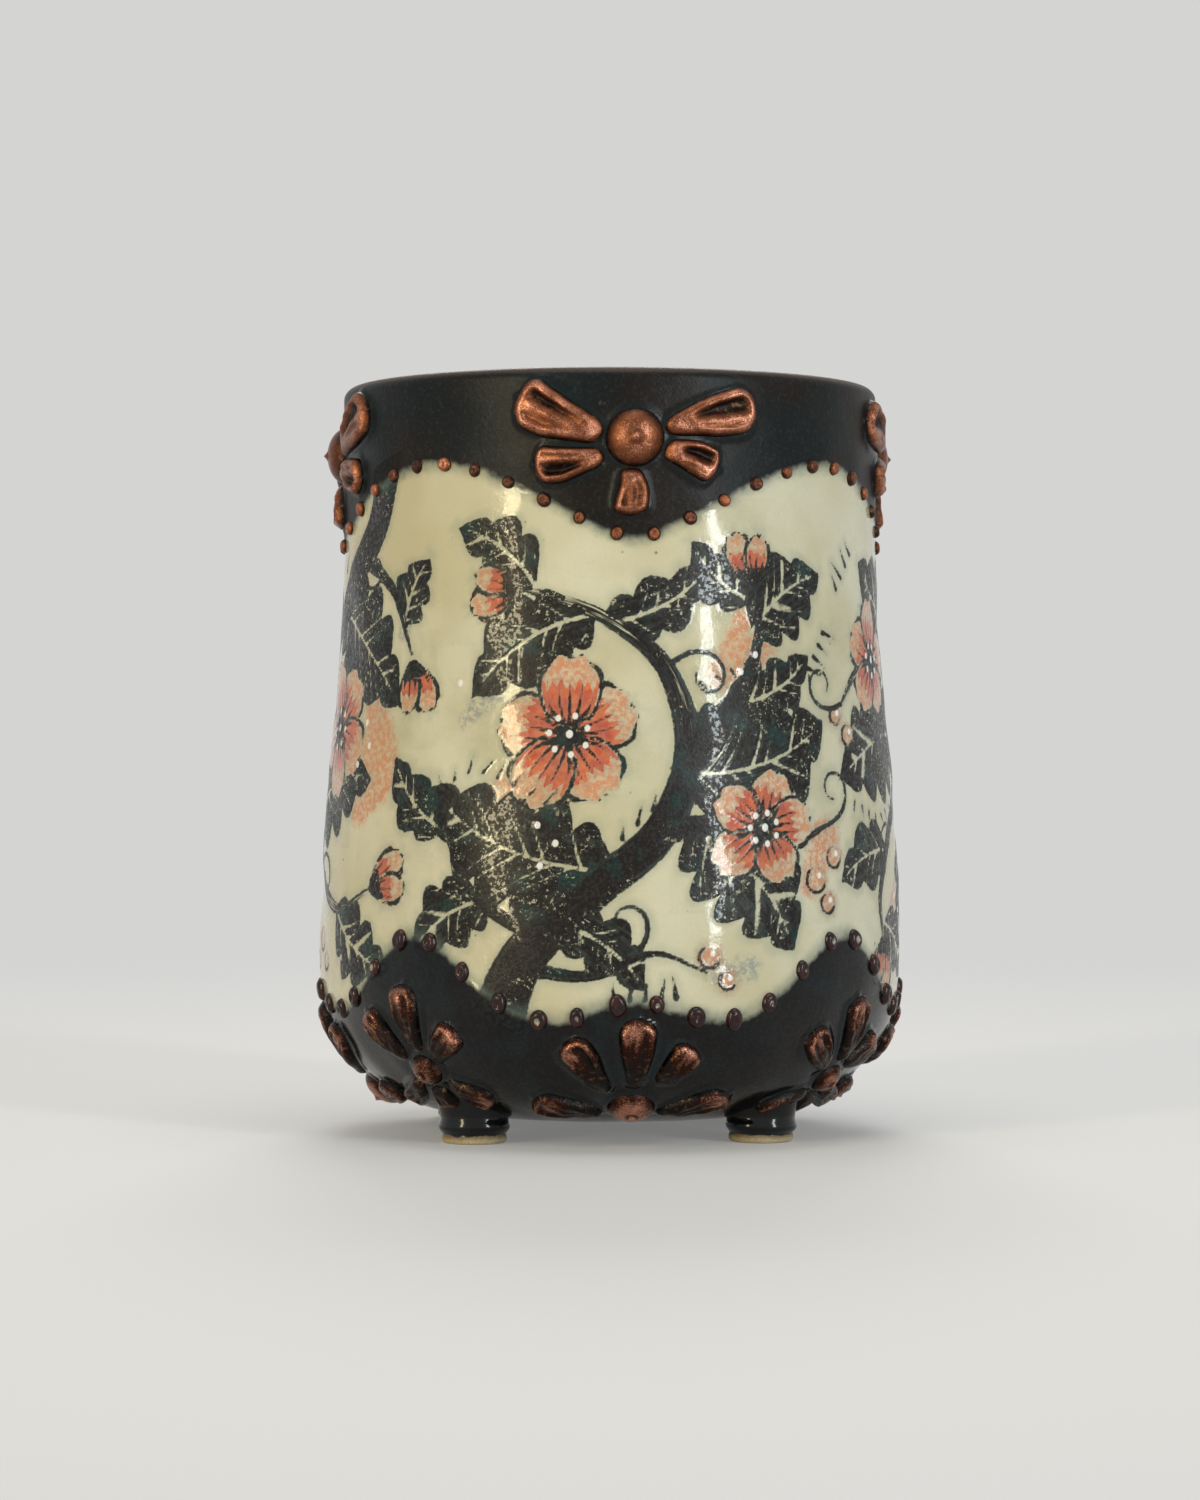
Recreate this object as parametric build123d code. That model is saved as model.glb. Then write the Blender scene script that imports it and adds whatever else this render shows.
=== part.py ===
from build123d import *
import math
import os

# A hand-thrown stoneware tumbler on four button feet. Pressed petals, domed bosses and trailed beads
# are stuck on round the lip and round the base.
# Millimetres, Z up. The feet stand on z = 0 round the cup's axis, and the side in the photograph is -Y.
# An azimuth is in degrees round the axis, 0 at the front and growing towards +X.
# A run is a length along the wall's outline, from the middle of the underside outwards and up.

# Wall
cup_height = 105.3
rim_radius = 37.8
belly_radius = 41.2
underside_height = 3.0
corner_radius = 20.0
belly_height = 22.0
shoulder_drop = 17.3
lip_thickness = 3.2
wall_thickness = 3.8
floor_thickness = 4.5
inner_corner_radius = 16.5

# Button feet, with their axes this far in from the cup's widest place
foot_inset = 13.2
foot_sole_radius = 4.4
foot_sole_height = 1.2
foot_sole_chamfer = 0.35
foot_neck_radius = 4.2
foot_roll_radius = 4.9
foot_roll_height = 1.7
foot_azimuth = 48.0

# Upper rosettes, with their centres this far below the lip
rosette_azimuth = 5.0
rosette_drop = 9.6
rosette_boss_radius = 4.0
rosette_boss_height = 2.4
rosette_petal_length = 12.5
rosette_petal_width = 7.2
rosette_petal_thickness = 1.5

# Fans round the base, with their centres this far up the corner from the flat underside
# The spread of fans and flowers goes with the belly's radius, so that they stay clear of each other.
fan_azimuth = 5.0
fan_lift = 11.5
fan_boss_radius = belly_radius * 0.08
fan_boss_height = 2.0
fan_petal_length = belly_radius * 0.248
fan_petal_width = belly_radius * 0.126
fan_petal_thickness = 1.4

# Flowers over the feet, with their centres this far up the wall from the feet's outer edge
# Every other flower sits a little lower and further round.
flower_azimuth = 48.0
flower_azimuth_step = 8.0
flower_lift = 5.7
flower_lift_step = 2.1
flower_boss_radius = belly_radius * 0.061
flower_boss_height = 1.8
flower_petal_length = belly_radius * 0.218
flower_petal_width = belly_radius * 0.121
flower_petal_thickness = 1.4

# Every petal and boss
nipple_radius_share = 0.17
nipple_height_share = 0.32
nipple_taper_share = 0.5
root_depth = 0.8
petal_crest_share = 0.56
petal_edge_share = 0.3

# A petal's stations, from its root to its tip: shares of its length, width and thickness, and its furrow
station_shares = (
    (0, 0.40, 0.60, 0.10),
    (0.25, 0.65, 0.88, 0.35),
    (0.55, 0.90, 1, 0.60),
    (0.80, 1, 1, 0.55),
    (0.94, 0.80, 0.85, 0.40),
    (1, 0.45, 0.50, 0.20),
)

# Petals of each ornament: azimuth of the root round the boss, direction of the petal, both in degrees
# from the right, then the root's distance as a share of the boss radius, and shares of length and width
rosette_petal_shares = (
    (21, 11, 1.24, 0.98, 0.84),
    (173, 153, 1.26, 1, 0.94),
    (213, 188, 1.34, 0.73, 0.70),
    (262, 270, 1.10, 0.47, 0.66),
    (344, 334, 1.18, 0.57, 0.68),
)
fan_petal_shares = (
    (340, 22, 1.28, 1, 0.84),
    (57, 57, 2, 0.68, 0.88),
    (90, 90, 1.55, 0.98, 1),
    (128, 128, 1.70, 0.94, 0.92),
    (205, 156, 1.45, 0.94, 0.84),
)
flower_petal_shares = (
    (90, 92, 1.45, 0.98, 1),
    (38, 42, 1.40, 0.74, 0.94),
    (322, 326, 1.45, 0.68, 0.86),
    (268, 272, 1.30, 0.42, 0.80),
    (222, 218, 1.45, 0.76, 0.84),
    (142, 136, 1.45, 0.94, 0.88),
)

# Beads along the scalloped edges of the dark bands
beads_in_quarter = 12
upper_bead_radius = 1.0
upper_bead_height = 0.8
lower_bead_radius = 1.3
lower_bead_height = 0.9
bead_crown_share = 0.6
upper_edge_drop = 23.0
upper_edge_rise = 10.4
lower_edge_height = 14.3
lower_edge_peak = 11.4
lower_edge_hump = 3.2

# Where the wall's own seam lies, clear of every ornament, and the four quarters
seam_azimuth = 35.0
corners = {"front_right": 0, "back_right": 90, "back_left": 180, "front_left": 270}


def wall_line(underside, corner, belly, lip):
    """The wall's side as joined lines and arcs, from the axis to where the lip's round begins."""
    corner_start = (belly - corner, underside)
    corner_end = (belly, underside + corner)
    belly_top = (belly, underside + max(belly_height, corner))
    shoulder = (lip, cup_height - shoulder_drop)
    middle = ((belly + lip) / 2, (belly_top[1] + shoulder[1]) / 2)
    line = Line((0, underside), corner_start)
    line += TangentArc(corner_start, corner_end, tangent=(1, 0))
    if belly_top[1] > corner_end[1]:
        line += Line(corner_end, belly_top)
    line += TangentArc(belly_top, middle, tangent=(0, 1))
    line += TangentArc(shoulder, middle, tangent=(0, -1))
    line += Line(shoulder, (lip, cup_height - lip_thickness / 2))
    return line


outer_line = wall_line(underside_height, corner_radius, belly_radius, rim_radius)
outline = (Plane.XZ * outer_line).wire()


def turned(edges):
    """Solid of revolution about the Z axis from the closed edges of its half section."""
    return revolve(Plane.XZ * make_face(edges), Axis.Z)


def seam_turned(solid):
    """A wall solid turned about the cup's axis until its seam is at its own azimuth."""
    return Rot(0, 0, seam_azimuth - 90) * solid


def cup_body():
    """Floor, wall and fully rounded lip in one thrown piece."""
    floor = underside_height + floor_thickness
    inner_belly = belly_radius - wall_thickness
    inner_lip = rim_radius - lip_thickness
    spring = cup_height - lip_thickness / 2
    inner_line = wall_line(floor, inner_corner_radius, inner_belly, inner_lip)
    lip_round = ThreePointArc(
        (rim_radius, spring), (rim_radius - lip_thickness / 2, cup_height), (inner_lip, spring)
    )
    axis_line = Line((0, floor), (0, underside_height))
    return seam_turned(turned(outer_line + lip_round + inner_line + axis_line))


def envelope():
    """The cup's outer form without its hollow, which trims whatever is stuck on the wall."""
    half_lip = lip_thickness / 2
    crown = (rim_radius - half_lip, cup_height)
    lip_round = TangentArc(crown, (rim_radius, cup_height - half_lip), tangent=(1, 0))
    closing = Polyline((0, underside_height), (0, cup_height), crown)
    return seam_turned(turned(outer_line + lip_round + closing))


def run_where(reached):
    """First run past the flat underside whose point on the outline passes a test."""
    low = belly_radius - corner_radius
    high = outline.length
    for _ in range(40):
        middle = (low + high) / 2
        if reached(outline.position_at(middle, PositionMode.LENGTH)):
            high = middle
        else:
            low = middle
    return high


def run_at_height(height):
    return run_where(lambda point: point.Z >= height)


def run_at_radius(radius):
    """Run on the base corner, where the outline still grows wider."""
    return run_where(lambda point: point.X >= radius or point.Z >= underside_height + corner_radius)


def seat(azimuth, run):
    """Plane on the outer surface, with x to the right, y up along the wall and z outwards."""
    point = outline.position_at(run, PositionMode.LENGTH)
    rise = outline.tangent_at(run, PositionMode.LENGTH)
    angle = math.radians(azimuth)
    outwards = Vector(math.sin(angle), -math.cos(angle), 0)
    across = Vector(math.cos(angle), math.sin(angle), 0)
    up = outwards * rise.X + Vector(0, 0, rise.Z)
    return Plane(outwards * point.X + Vector(0, 0, point.Z), x_dir=across, z_dir=across.cross(up))


def seat_beside(azimuth, run, right, up):
    """Seat at a distance to the right of, and up the wall from, another place."""
    radius = outline.position_at(run + up, PositionMode.LENGTH).X
    return seat(azimuth + math.degrees(right / radius), run + up)


def petal_section(plane, width, thickness, furrow):
    """Cross-section of two puffed lobes with a furrow between them, sunk below the wall's surface."""
    half = width / 2
    crest = half * petal_crest_share
    edge = thickness * petal_edge_share
    valley = thickness * (1 - furrow)
    section = Polyline((-half, edge), (-half, -root_depth), (half, -root_depth), (half, edge))
    section += ThreePointArc((half, edge), (crest, thickness), (0, valley))
    section += ThreePointArc((0, valley), (-crest, thickness), (-half, edge))
    return plane * make_face(section)


def petal(azimuth, run, root, direction, length, width, thickness):
    """One petal, bent to the wall by giving each of its stations a seat of its own."""
    heading = math.radians(direction)
    sections = []
    for length_share, width_share, thickness_share, furrow_share in station_shares:
        reach = length * length_share
        right = root[0] + reach * math.cos(heading)
        up = root[1] + reach * math.sin(heading)
        place = seat_beside(azimuth, run, right, up)
        ahead = place.x_dir * math.cos(heading) + place.y_dir * math.sin(heading)
        plane = Plane(place.origin, x_dir=place.z_dir.cross(ahead), z_dir=ahead)
        section = petal_section(plane, width * width_share, thickness * thickness_share, furrow_share)
        sections.append(section)
    return loft(sections, ruled=True)


def boss(plane, radius, height):
    """Domed button with a blunt nipple, and a stub that goes down to the wall."""
    nipple = radius * nipple_radius_share
    peak = height * (1 + nipple_height_share)
    sphere = (radius**2 + height**2) / (2 * height)
    low = math.degrees(math.atan2(sphere - height, radius))
    high = math.degrees(math.acos(nipple / sphere))
    dome = CenterArc((0, height - sphere), sphere, low, high - low)
    stub = Polyline((0, peak), (0, -root_depth), (radius, -root_depth), dome @ 0)
    tip = Polyline(dome @ 1, (nipple * nipple_taper_share, peak), (0, peak))
    return plane * revolve(Plane.XZ * make_face(stub + dome + tip), Axis.Z)


def bead(plane, radius, height):
    """Trailed dot of slip with a flattened crown, on a stub that goes down to the wall."""
    crown = radius * bead_crown_share
    stub = Polyline((0, height), (0, -root_depth), (radius, -root_depth), (radius, 0))
    top = Polyline((radius, 0), (crown, height), (0, height))
    return plane * revolve(Plane.XZ * make_face(stub + top), Axis.Z)


def foot_circle_radius():
    return belly_radius - foot_inset


def foot(azimuth):
    """Button foot: a flat sole, a neck and a pinched roll that meets the underside."""
    sole = foot_sole_radius
    chamfer = foot_sole_chamfer
    roll_end = foot_sole_height + foot_roll_height
    top = underside_height + corner_radius / 2
    roll_start = (foot_neck_radius, foot_sole_height)
    roll_middle = (foot_roll_radius, (foot_sole_height + roll_end) / 2)
    neck_start = (foot_neck_radius, roll_end)
    profile = Polyline((0, 0), (sole - chamfer, 0), (sole, chamfer), (sole, foot_sole_height), roll_start)
    profile += ThreePointArc(roll_start, roll_middle, neck_start)
    profile += Polyline(neck_start, (foot_neck_radius, top), (0, top), (0, 0))
    button = Pos(0, -foot_circle_radius(), 0) * turned(profile)
    return Rot(0, 0, azimuth) * button


def mirrored_row(row):
    """A petal's row with its two directions mirrored left to right."""
    root_direction, direction, *shares = row
    return (180 - root_direction, 180 - direction, *shares)


def petals_round(azimuth, run, rows, boss_radius, length, width, thickness):
    """All the petals of an ornament, not yet trimmed to the wall."""
    petals = []
    for root_direction, direction, root_share, length_share, width_share in rows:
        angle = math.radians(root_direction)
        distance = boss_radius * root_share
        root = (distance * math.cos(angle), distance * math.sin(angle))
        size = (length * length_share, width * width_share, thickness)
        petals.append(petal(azimuth, run, root, direction, *size))
    return petals


def upper_edge(azimuth):
    """Height of the upper band's scalloped edge."""
    wave = abs(math.sin(math.radians(2 * (azimuth - rosette_azimuth))))
    return cup_height - upper_edge_drop + upper_edge_rise * wave**1.4


def lower_edge(azimuth):
    """Height of the lower band's edge, with a peak over each foot and a hump over each fan."""
    angle = math.radians(2 * (azimuth - fan_azimuth))
    peak = lower_edge_peak * math.sin(angle) ** 6
    hump = lower_edge_hump * math.cos(angle) ** 12
    return underside_height + lower_edge_height + peak + hump


def bead_row(edge, radius, height):
    """Beads along a scalloped edge, over the first quarter turn after the rosette at the front."""
    beads = []
    for number in range(beads_in_quarter):
        azimuth = rosette_azimuth + 90 * (number + 0.5) / beads_in_quarter
        place = seat(azimuth, run_at_height(edge(azimuth)))
        beads.append(bead(place, radius, height))
    return beads


def trimmed(shapes, trimmers):
    """The shapes cut back to what they are stuck on, one solid for each."""
    pieces = []
    for shape in shapes:
        for trimmer in trimmers:
            shape = shape - trimmer
        pieces.append(max(shape.solids(), key=lambda solid: solid.volume))
    return pieces


def turn_round(solids, angle):
    """Copies of the solids, turned about the cup's axis."""
    return [Rot(0, 0, angle) * solid for solid in solids]


def write_node(name, solids):
    export_step(Compound(list(solids)), os.path.join("parts", f"{name}.step"))


def write_ornament(kind, places, azimuth, run, rows, boss_size, petal_size, carriers):
    """An ornament and its copy half a turn on, each with its petals and its boss in separate nodes."""
    bosses = trimmed([boss(seat(azimuth, run), *boss_size)], carriers)
    petals = trimmed(petals_round(azimuth, run, rows, boss_size[0], *petal_size), carriers)
    for place, turn in zip(places, (0, 180)):
        write_node(f"{kind}_boss_{place}", turn_round(bosses, turn))
        write_node(f"{kind}_petals_{place}", turn_round(petals, turn))


os.makedirs("parts", exist_ok=True)
form = envelope()
write_node("cup_body", [cup_body()])

feet = {}
for corner, turn in corners.items():
    feet[corner] = trimmed([foot(foot_azimuth + turn)], [form])
    write_node(f"foot_{corner}", feet[corner])

# Rosettes and fans, mirrored left to right at every other side
rosette_run = run_at_height(cup_height - rosette_drop)
rosette_boss = (rosette_boss_radius, rosette_boss_height)
rosette_petal = (rosette_petal_length, rosette_petal_width, rosette_petal_thickness)
fan_run = belly_radius - corner_radius + fan_lift
fan_boss = (fan_boss_radius, fan_boss_height)
fan_petal = (fan_petal_length, fan_petal_width, fan_petal_thickness)
for places, turn, arranged in ((("front", "back"), 0, tuple), (("right", "left"), 90, mirrored_row)):
    rows = [arranged(row) for row in rosette_petal_shares]
    azimuth = rosette_azimuth + turn
    write_ornament("rosette", places, azimuth, rosette_run, rows, rosette_boss, rosette_petal, [form])
    rows = [arranged(row) for row in fan_petal_shares]
    azimuth = fan_azimuth + turn
    write_ornament("fan", places, azimuth, fan_run, rows, fan_boss, fan_petal, [form])

# Flowers, which lie against the feet
foot_edge_run = run_at_radius(foot_circle_radius() + foot_roll_radius)
flower_boss = (flower_boss_radius, flower_boss_height)
flower_petal = (flower_petal_length, flower_petal_width, flower_petal_thickness)
for places, turn, step in ((("front_right", "back_left"), 0, 1), (("back_right", "front_left"), 90, 0)):
    azimuth = flower_azimuth + turn + step * flower_azimuth_step
    run = foot_edge_run + flower_lift - step * flower_lift_step
    carriers = [form] + feet[places[0]]
    write_ornament("flower", places, azimuth, run, flower_petal_shares, flower_boss, flower_petal, carriers)

upper_beads = trimmed(bead_row(upper_edge, upper_bead_radius, upper_bead_height), [form])
lower_beads = trimmed(bead_row(lower_edge, lower_bead_radius, lower_bead_height), [form])
for corner, turn in corners.items():
    write_node(f"upper_beads_{corner}", turn_round(upper_beads, turn))
    write_node(f"lower_beads_{corner}", turn_round(lower_beads, turn))
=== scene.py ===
import math

import bpy
import numpy as np
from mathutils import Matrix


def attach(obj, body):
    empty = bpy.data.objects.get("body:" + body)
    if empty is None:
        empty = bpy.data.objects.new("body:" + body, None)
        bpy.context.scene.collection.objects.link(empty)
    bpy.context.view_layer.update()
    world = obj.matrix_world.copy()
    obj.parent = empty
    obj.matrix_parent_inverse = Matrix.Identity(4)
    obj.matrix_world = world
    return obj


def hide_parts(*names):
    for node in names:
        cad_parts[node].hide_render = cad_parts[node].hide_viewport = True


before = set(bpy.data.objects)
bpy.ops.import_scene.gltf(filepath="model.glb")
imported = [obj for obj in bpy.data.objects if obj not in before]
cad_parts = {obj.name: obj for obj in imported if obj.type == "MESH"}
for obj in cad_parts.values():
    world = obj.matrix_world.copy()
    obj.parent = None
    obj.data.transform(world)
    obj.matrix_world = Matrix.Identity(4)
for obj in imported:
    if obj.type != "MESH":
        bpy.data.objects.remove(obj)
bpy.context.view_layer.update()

# The form is worked out in millimetres, as the CAD source has it, and goes to Blender in metres.
# An azimuth is in degrees round the axis, 0 at the front and growing towards +X.
# A run is a length along the section of the wall, from the middle of the underside outwards and up.
METRES = 0.001

# Wall
cup_height = 105.3
rim_radius = 37.8
belly_radius = 41.2
underside_height = 3.0
corner_radius = 20.0
belly_height = 22.0
shoulder_drop = 17.3
lip_thickness = 3.2
wall_thickness = 3.8
floor_thickness = 4.5
inner_corner_radius = 16.5
underside_dip = 0.12

# Feet
foot_circle_radius = belly_radius - 13.2
foot_azimuth = 48.0
foot_outline = (
    (3.6, 0.0), (4.1, 0.06), (4.35, 0.3), (4.42, 0.7), (4.35, 1.1), (4.32, 1.25), (4.5, 1.5), (4.76, 1.85),
    (4.88, 2.25), (4.84, 2.7), (4.72, 3.1), (4.66, 3.5), (4.72, 4.1), (4.95, 5.0), (5.35, 6.1), (5.8, 6.9),
)
foot_columns = 96
foot_rows = 60

# Ornaments: azimuth, then radius, height and painted brightness of the boss's crest, and length, width,
# thickness and painted shade at the root of the petals
rosette_azimuth = 5.0
rosette_drop = 9.6
rosette_boss = (4.0, 2.4, 0.78)
rosette_petal = (12.5, 7.2, 1.75, 0.12)
fan_azimuth = 5.0
fan_lift = 11.5
# The fan's boss has a brighter crest, a painted highlight on a boss that faces down
fan_boss = (3.3, 2.0, 1.08)
fan_petal = (10.2, 5.2, 1.6, 0.75)
flower_azimuth = 48.0
flower_azimuth_step = 8.0
flower_runs = (39.40, 37.30)
flower_boss = (2.5, 1.8, 0.86)
flower_petal = (9.0, 5.0, 1.6, 0.60)

# Petals: direction of the root and of the petal, root distance as a share of the boss radius, shares of
# length and width, then where the tongue lies across the hollow and how deep the hollow is
rosette_petals = (
    (21, 11, 1.24, 0.98, 0.90, -0.20, 0.95),
    (173, 155, 1.26, 0.94, 0.98, 0.20, 1.05),
    (211, 185, 1.34, 0.71, 0.74, -0.10, 0.95),
    (262, 270, 1.10, 0.48, 0.70, 0.02, 0.75),
    (344, 337, 1.16, 0.58, 0.74, -0.30, 0.95),
)
fan_petals = (
    (340, 22, 1.28, 1, 0.84, 0.10, 0.35),
    (57, 57, 2, 0.68, 0.88, -0.1, 0.25),
    (90, 90, 1.55, 0.98, 1, 0.08, 0.28),
    (128, 128, 1.70, 0.94, 0.92, 0.12, 0.55),
    (205, 156, 1.45, 0.94, 0.84, -0.10, 0.35),
)
flower_petals = (
    (90, 92, 1.45, 0.98, 1, 0.08, 0.45),
    (38, 42, 1.40, 0.74, 0.94, -0.1, 0.30),
    (322, 326, 1.45, 0.68, 0.86, 0.08, 0.30),
    (268, 272, 1.30, 0.42, 0.80, 0.1, 0.25),
    (222, 218, 1.45, 0.76, 0.84, 0.0, 0.45),
    (142, 136, 1.45, 0.94, 0.88, 0.1, 0.55),
)
petal_widths = ((0, 0.42), (0.25, 0.66), (0.55, 0.92), (0.80, 1))
petal_heights = ((0, 0.62), (0.25, 0.86), (0.55, 1), (0.85, 0.98), (1, 0.8))
petal_columns = 35
petal_stations = 46
petal_root_depth = 0.5

# Pressing of the petals: depths as shares of the thickness, widths as shares of the width
hollow_depth = 0.72
furrow_depth = 0.10
middle_furrow_depth = 0.20
tongue_width_share = 0.160
furrow_width_share = 0.045
lump_depths = (0.09, 0.05)
streak_depth = 0.030

# Bosses: rings, and height of the nipple as a share of the dome
boss_columns = 64
boss_ring_count = 30
boss_wobble = 0.012
boss_root_depth = 0.8
nipple_share = 0.24

# Beads along the scalloped edges of the dark bands: radius and height
beads_in_quarter = 12
upper_bead = (1.0, 0.8)
lower_bead = (1.3, 0.9)
bead_columns = 28
bead_ring_count = 11
bead_wobble = 0.07
bead_root_depth = 0.4
bead_scales = (0.88, 1.08)
bead_sinks = (0.4, 1.1)
bead_rubs = (-0.5, 0.1)

# Edges of the dark bands: where they lie, and how far their scallops reach
upper_edge_drop = 23.0
upper_scallop = 10.4
lower_edge_lift = 14.3
lower_scallop = 11.4
lower_trough = 3.2
lining_edge_drop = 4.2
lining_edge_waves = (1.3, 0.8)

# Marks of the hand: how far the wall is out of round, the finger rings outside and inside, and the feet
oval_depths = (0.09, 0.04)
outer_ring_depth = 0.012
inner_ring_depth = 0.05
foot_wobbles = (0.014, 0.012)
foot_lean = 0.12

# Thickness of the slip over the body
upper_slip = 0.10
lower_slip = 0.08
ink_slip = 0.045
dot_slip = 0.12
gathered_slip = 0.28

# Grids: the outer wall is in four pieces, one for each side
seam_azimuth = 50
columns_in_quarter = 180
wall_rows = 320
lining_columns = 240
lining_rows = 170
underside_columns = 120
underside_rings = 13
lining_eye = 0.02
bake_span = (0.002, 0.998)

# Depths in millimetres past which a mark or a band no longer changes
unpainted = -4.0
mark_limit = 3
band_limit = 6

sides = {"front": 0, "right": 90, "back": 180, "left": 270}
corners = {"front_right": 0, "back_right": 90, "back_left": 180, "front_left": 270}
seeds = {"waves": 21, "brush": 11, "ornaments": 5, "beads": 8, "feet": 3}
phase_span = (0, 6.28)

# Camera and floor in metres, where the floor fades out in millimetres, and the studio's grey
camera_lens = 95.76
camera_place = (-0.0014, -0.570, 0.054)
floor_reach = 4.0
fade_from = 90
fade_to = 500
wall_shine = 0.38
floor_glow = 0.25
studio_grey = (0.66, 0.66, 0.65)
floor_colour = (0.82, 0.815, 0.80)


# Section of the cup
def straight(start, end, step=0.05):
    return np.linspace(start, end, max(2, int(math.dist(start, end) / step)))


def rounded(centre, radius, first, last, step=0.05):
    count = max(8, int(abs(math.radians(last - first)) * radius / step))
    angles = np.radians(np.linspace(first, last, count))
    return np.column_stack([centre[0] + radius * np.cos(angles), centre[1] + radius * np.sin(angles)])


def wall_side(underside, corner, belly, lip):
    """One side of the wall from the axis to the lip's round, as the CAD source draws it."""
    belly_top = underside + max(belly_height, corner)
    shoulder = cup_height - shoulder_drop
    half_width = (belly - lip) / 2
    half_height = (shoulder - belly_top) / 2
    sweep = (half_width**2 + half_height**2) / (2 * half_width)
    turn = math.degrees(math.asin(half_height / sweep))
    return [
        straight((0, underside), (belly - corner, underside)),
        rounded((belly - corner, underside + corner), corner, -90, 0),
        straight((belly, underside + corner), (belly, belly_top)),
        rounded((belly - sweep, belly_top), sweep, 0, turn),
        rounded((lip + sweep, shoulder), sweep, 180 + turn, 180),
        straight((lip, shoulder), (lip, cup_height - lip_thickness / 2)),
    ]


class Section:
    """The cup's section from the middle of the underside, over the lip, to the middle of the floor inside."""

    def __init__(self):
        lip_middle = (rim_radius - lip_thickness / 2, cup_height - lip_thickness / 2)
        lip_round = rounded(lip_middle, lip_thickness / 2, 0, 180, 0.02)
        outside = wall_side(underside_height, corner_radius, belly_radius, rim_radius)
        inside = wall_side(
            underside_height + floor_thickness,
            inner_corner_radius,
            belly_radius - wall_thickness,
            rim_radius - lip_thickness,
        )
        points = np.concatenate(outside + [lip_round] + [part[::-1] for part in inside[::-1]])
        moved = np.r_[True, np.hypot(*np.diff(points, axis=0).T) > 1e-6]
        self.points = points[moved]
        self.runs = np.r_[0, np.cumsum(np.hypot(*np.diff(self.points, axis=0).T))]
        rise = np.gradient(self.points, self.runs, axis=0)
        self.outwards = np.column_stack([rise[:, 1], -rise[:, 0]]) / np.hypot(*rise.T)[:, None]
        self.crown_run = self.runs[np.argmax(self.points[:, 1])]
        self.corner_run = belly_radius - corner_radius

    def at(self, run):
        """Radius, height and outward direction of the section at a run."""
        both = (self.points, self.outwards)
        return [np.interp(run, self.runs, table[:, column]) for table in both for column in (0, 1)]

    def run_at_height(self, height):
        outer = (self.runs > self.corner_run) & (self.runs < self.crown_run)
        return np.interp(height, self.points[outer, 1], self.runs[outer])


section = Section()


def soft_step(value, low, high):
    share = np.clip((value - low) / (high - low), 0, 1)
    return share * share * (3 - 2 * share)


def hand_waves(count, shortest, longest, depth):
    """Waves with whole turns round the wall, so that they meet themselves: turns, pitch, phase and depth."""
    random = np.random.default_rng(seeds["waves"])
    waves = []
    for _ in range(count):
        length = random.uniform(shortest, longest)
        lean = random.uniform(0, np.pi)
        turns = round(2 * np.pi * belly_radius * math.cos(lean) / length)
        pitch = 2 * np.pi * math.sin(lean) / length
        waves.append((turns, pitch, random.uniform(*phase_span), depth * length / longest))
    return waves


wall_waves = hand_waves(count=14, shortest=4.5, longest=19, depth=0.042)


def throwing(azimuth, run):
    """How far the thrown wall stands off its true form: a little out of round, finger-ringed and dented."""
    turn = np.radians(azimuth)
    oval = oval_depths[0] * np.sin(2 * turn + 0.7) + oval_depths[1] * np.sin(3 * turn + 2.1 + run / 40)
    rings = outer_ring_depth * np.sin(run * 1.35 + 1.6 * np.sin(turn + 0.4))
    rings = rings * np.sin(run / 17 + 0.6) ** 2
    dents = sum(
        depth * np.sin(turns * turn + pitch * run + phase) for turns, pitch, phase, depth in wall_waves
    )
    from_corner = np.clip((run - section.corner_run) / 12, 0, 1)
    from_lip = np.clip((section.crown_run - 0.8 - run) / 6, 0, 1)
    return (oval + rings + dents) * (from_corner * from_lip)


def round_axis(reach, turn, level):
    """Points at a distance from the cup's axis, a turn in radians and a height."""
    return np.stack([reach * np.sin(turn), -reach * np.cos(turn), level + 0 * turn], axis=-1)


def on_wall(azimuth, run, height=0.0, right=0.0, up=0.0):
    """Points over the outer surface, at a height over it and a distance along it from a place."""
    run = run + up
    radius, level, across, rise = section.at(run)
    azimuth = azimuth + np.degrees(right / radius)
    height = height + throwing(azimuth, run)
    return round_axis(radius + across * height, np.radians(azimuth), level + rise * height)


def upper_edge(azimuth):
    wave = np.abs(np.sin(np.radians(2 * (azimuth - rosette_azimuth))))
    return cup_height - upper_edge_drop + upper_scallop * wave**1.4


def lower_edge(azimuth):
    angle = np.radians(2 * (azimuth - fan_azimuth))
    wave = lower_scallop * np.sin(angle) ** 6 + lower_trough * np.cos(angle) ** 12
    return underside_height + lower_edge_lift + wave


# Directions on the unrolled wall
def pointing(direction):
    """Unit vector at an angle in degrees."""
    angle = math.radians(direction)
    return np.array([math.cos(angle), math.sin(angle)])


def along_and_left(right, up, start, ahead):
    """How far points lie along a direction from its start, and to the left of it."""
    right = right - start[0]
    up = up - start[1]
    return right * ahead[0] + up * ahead[1], up * ahead[0] - right * ahead[1]


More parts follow.
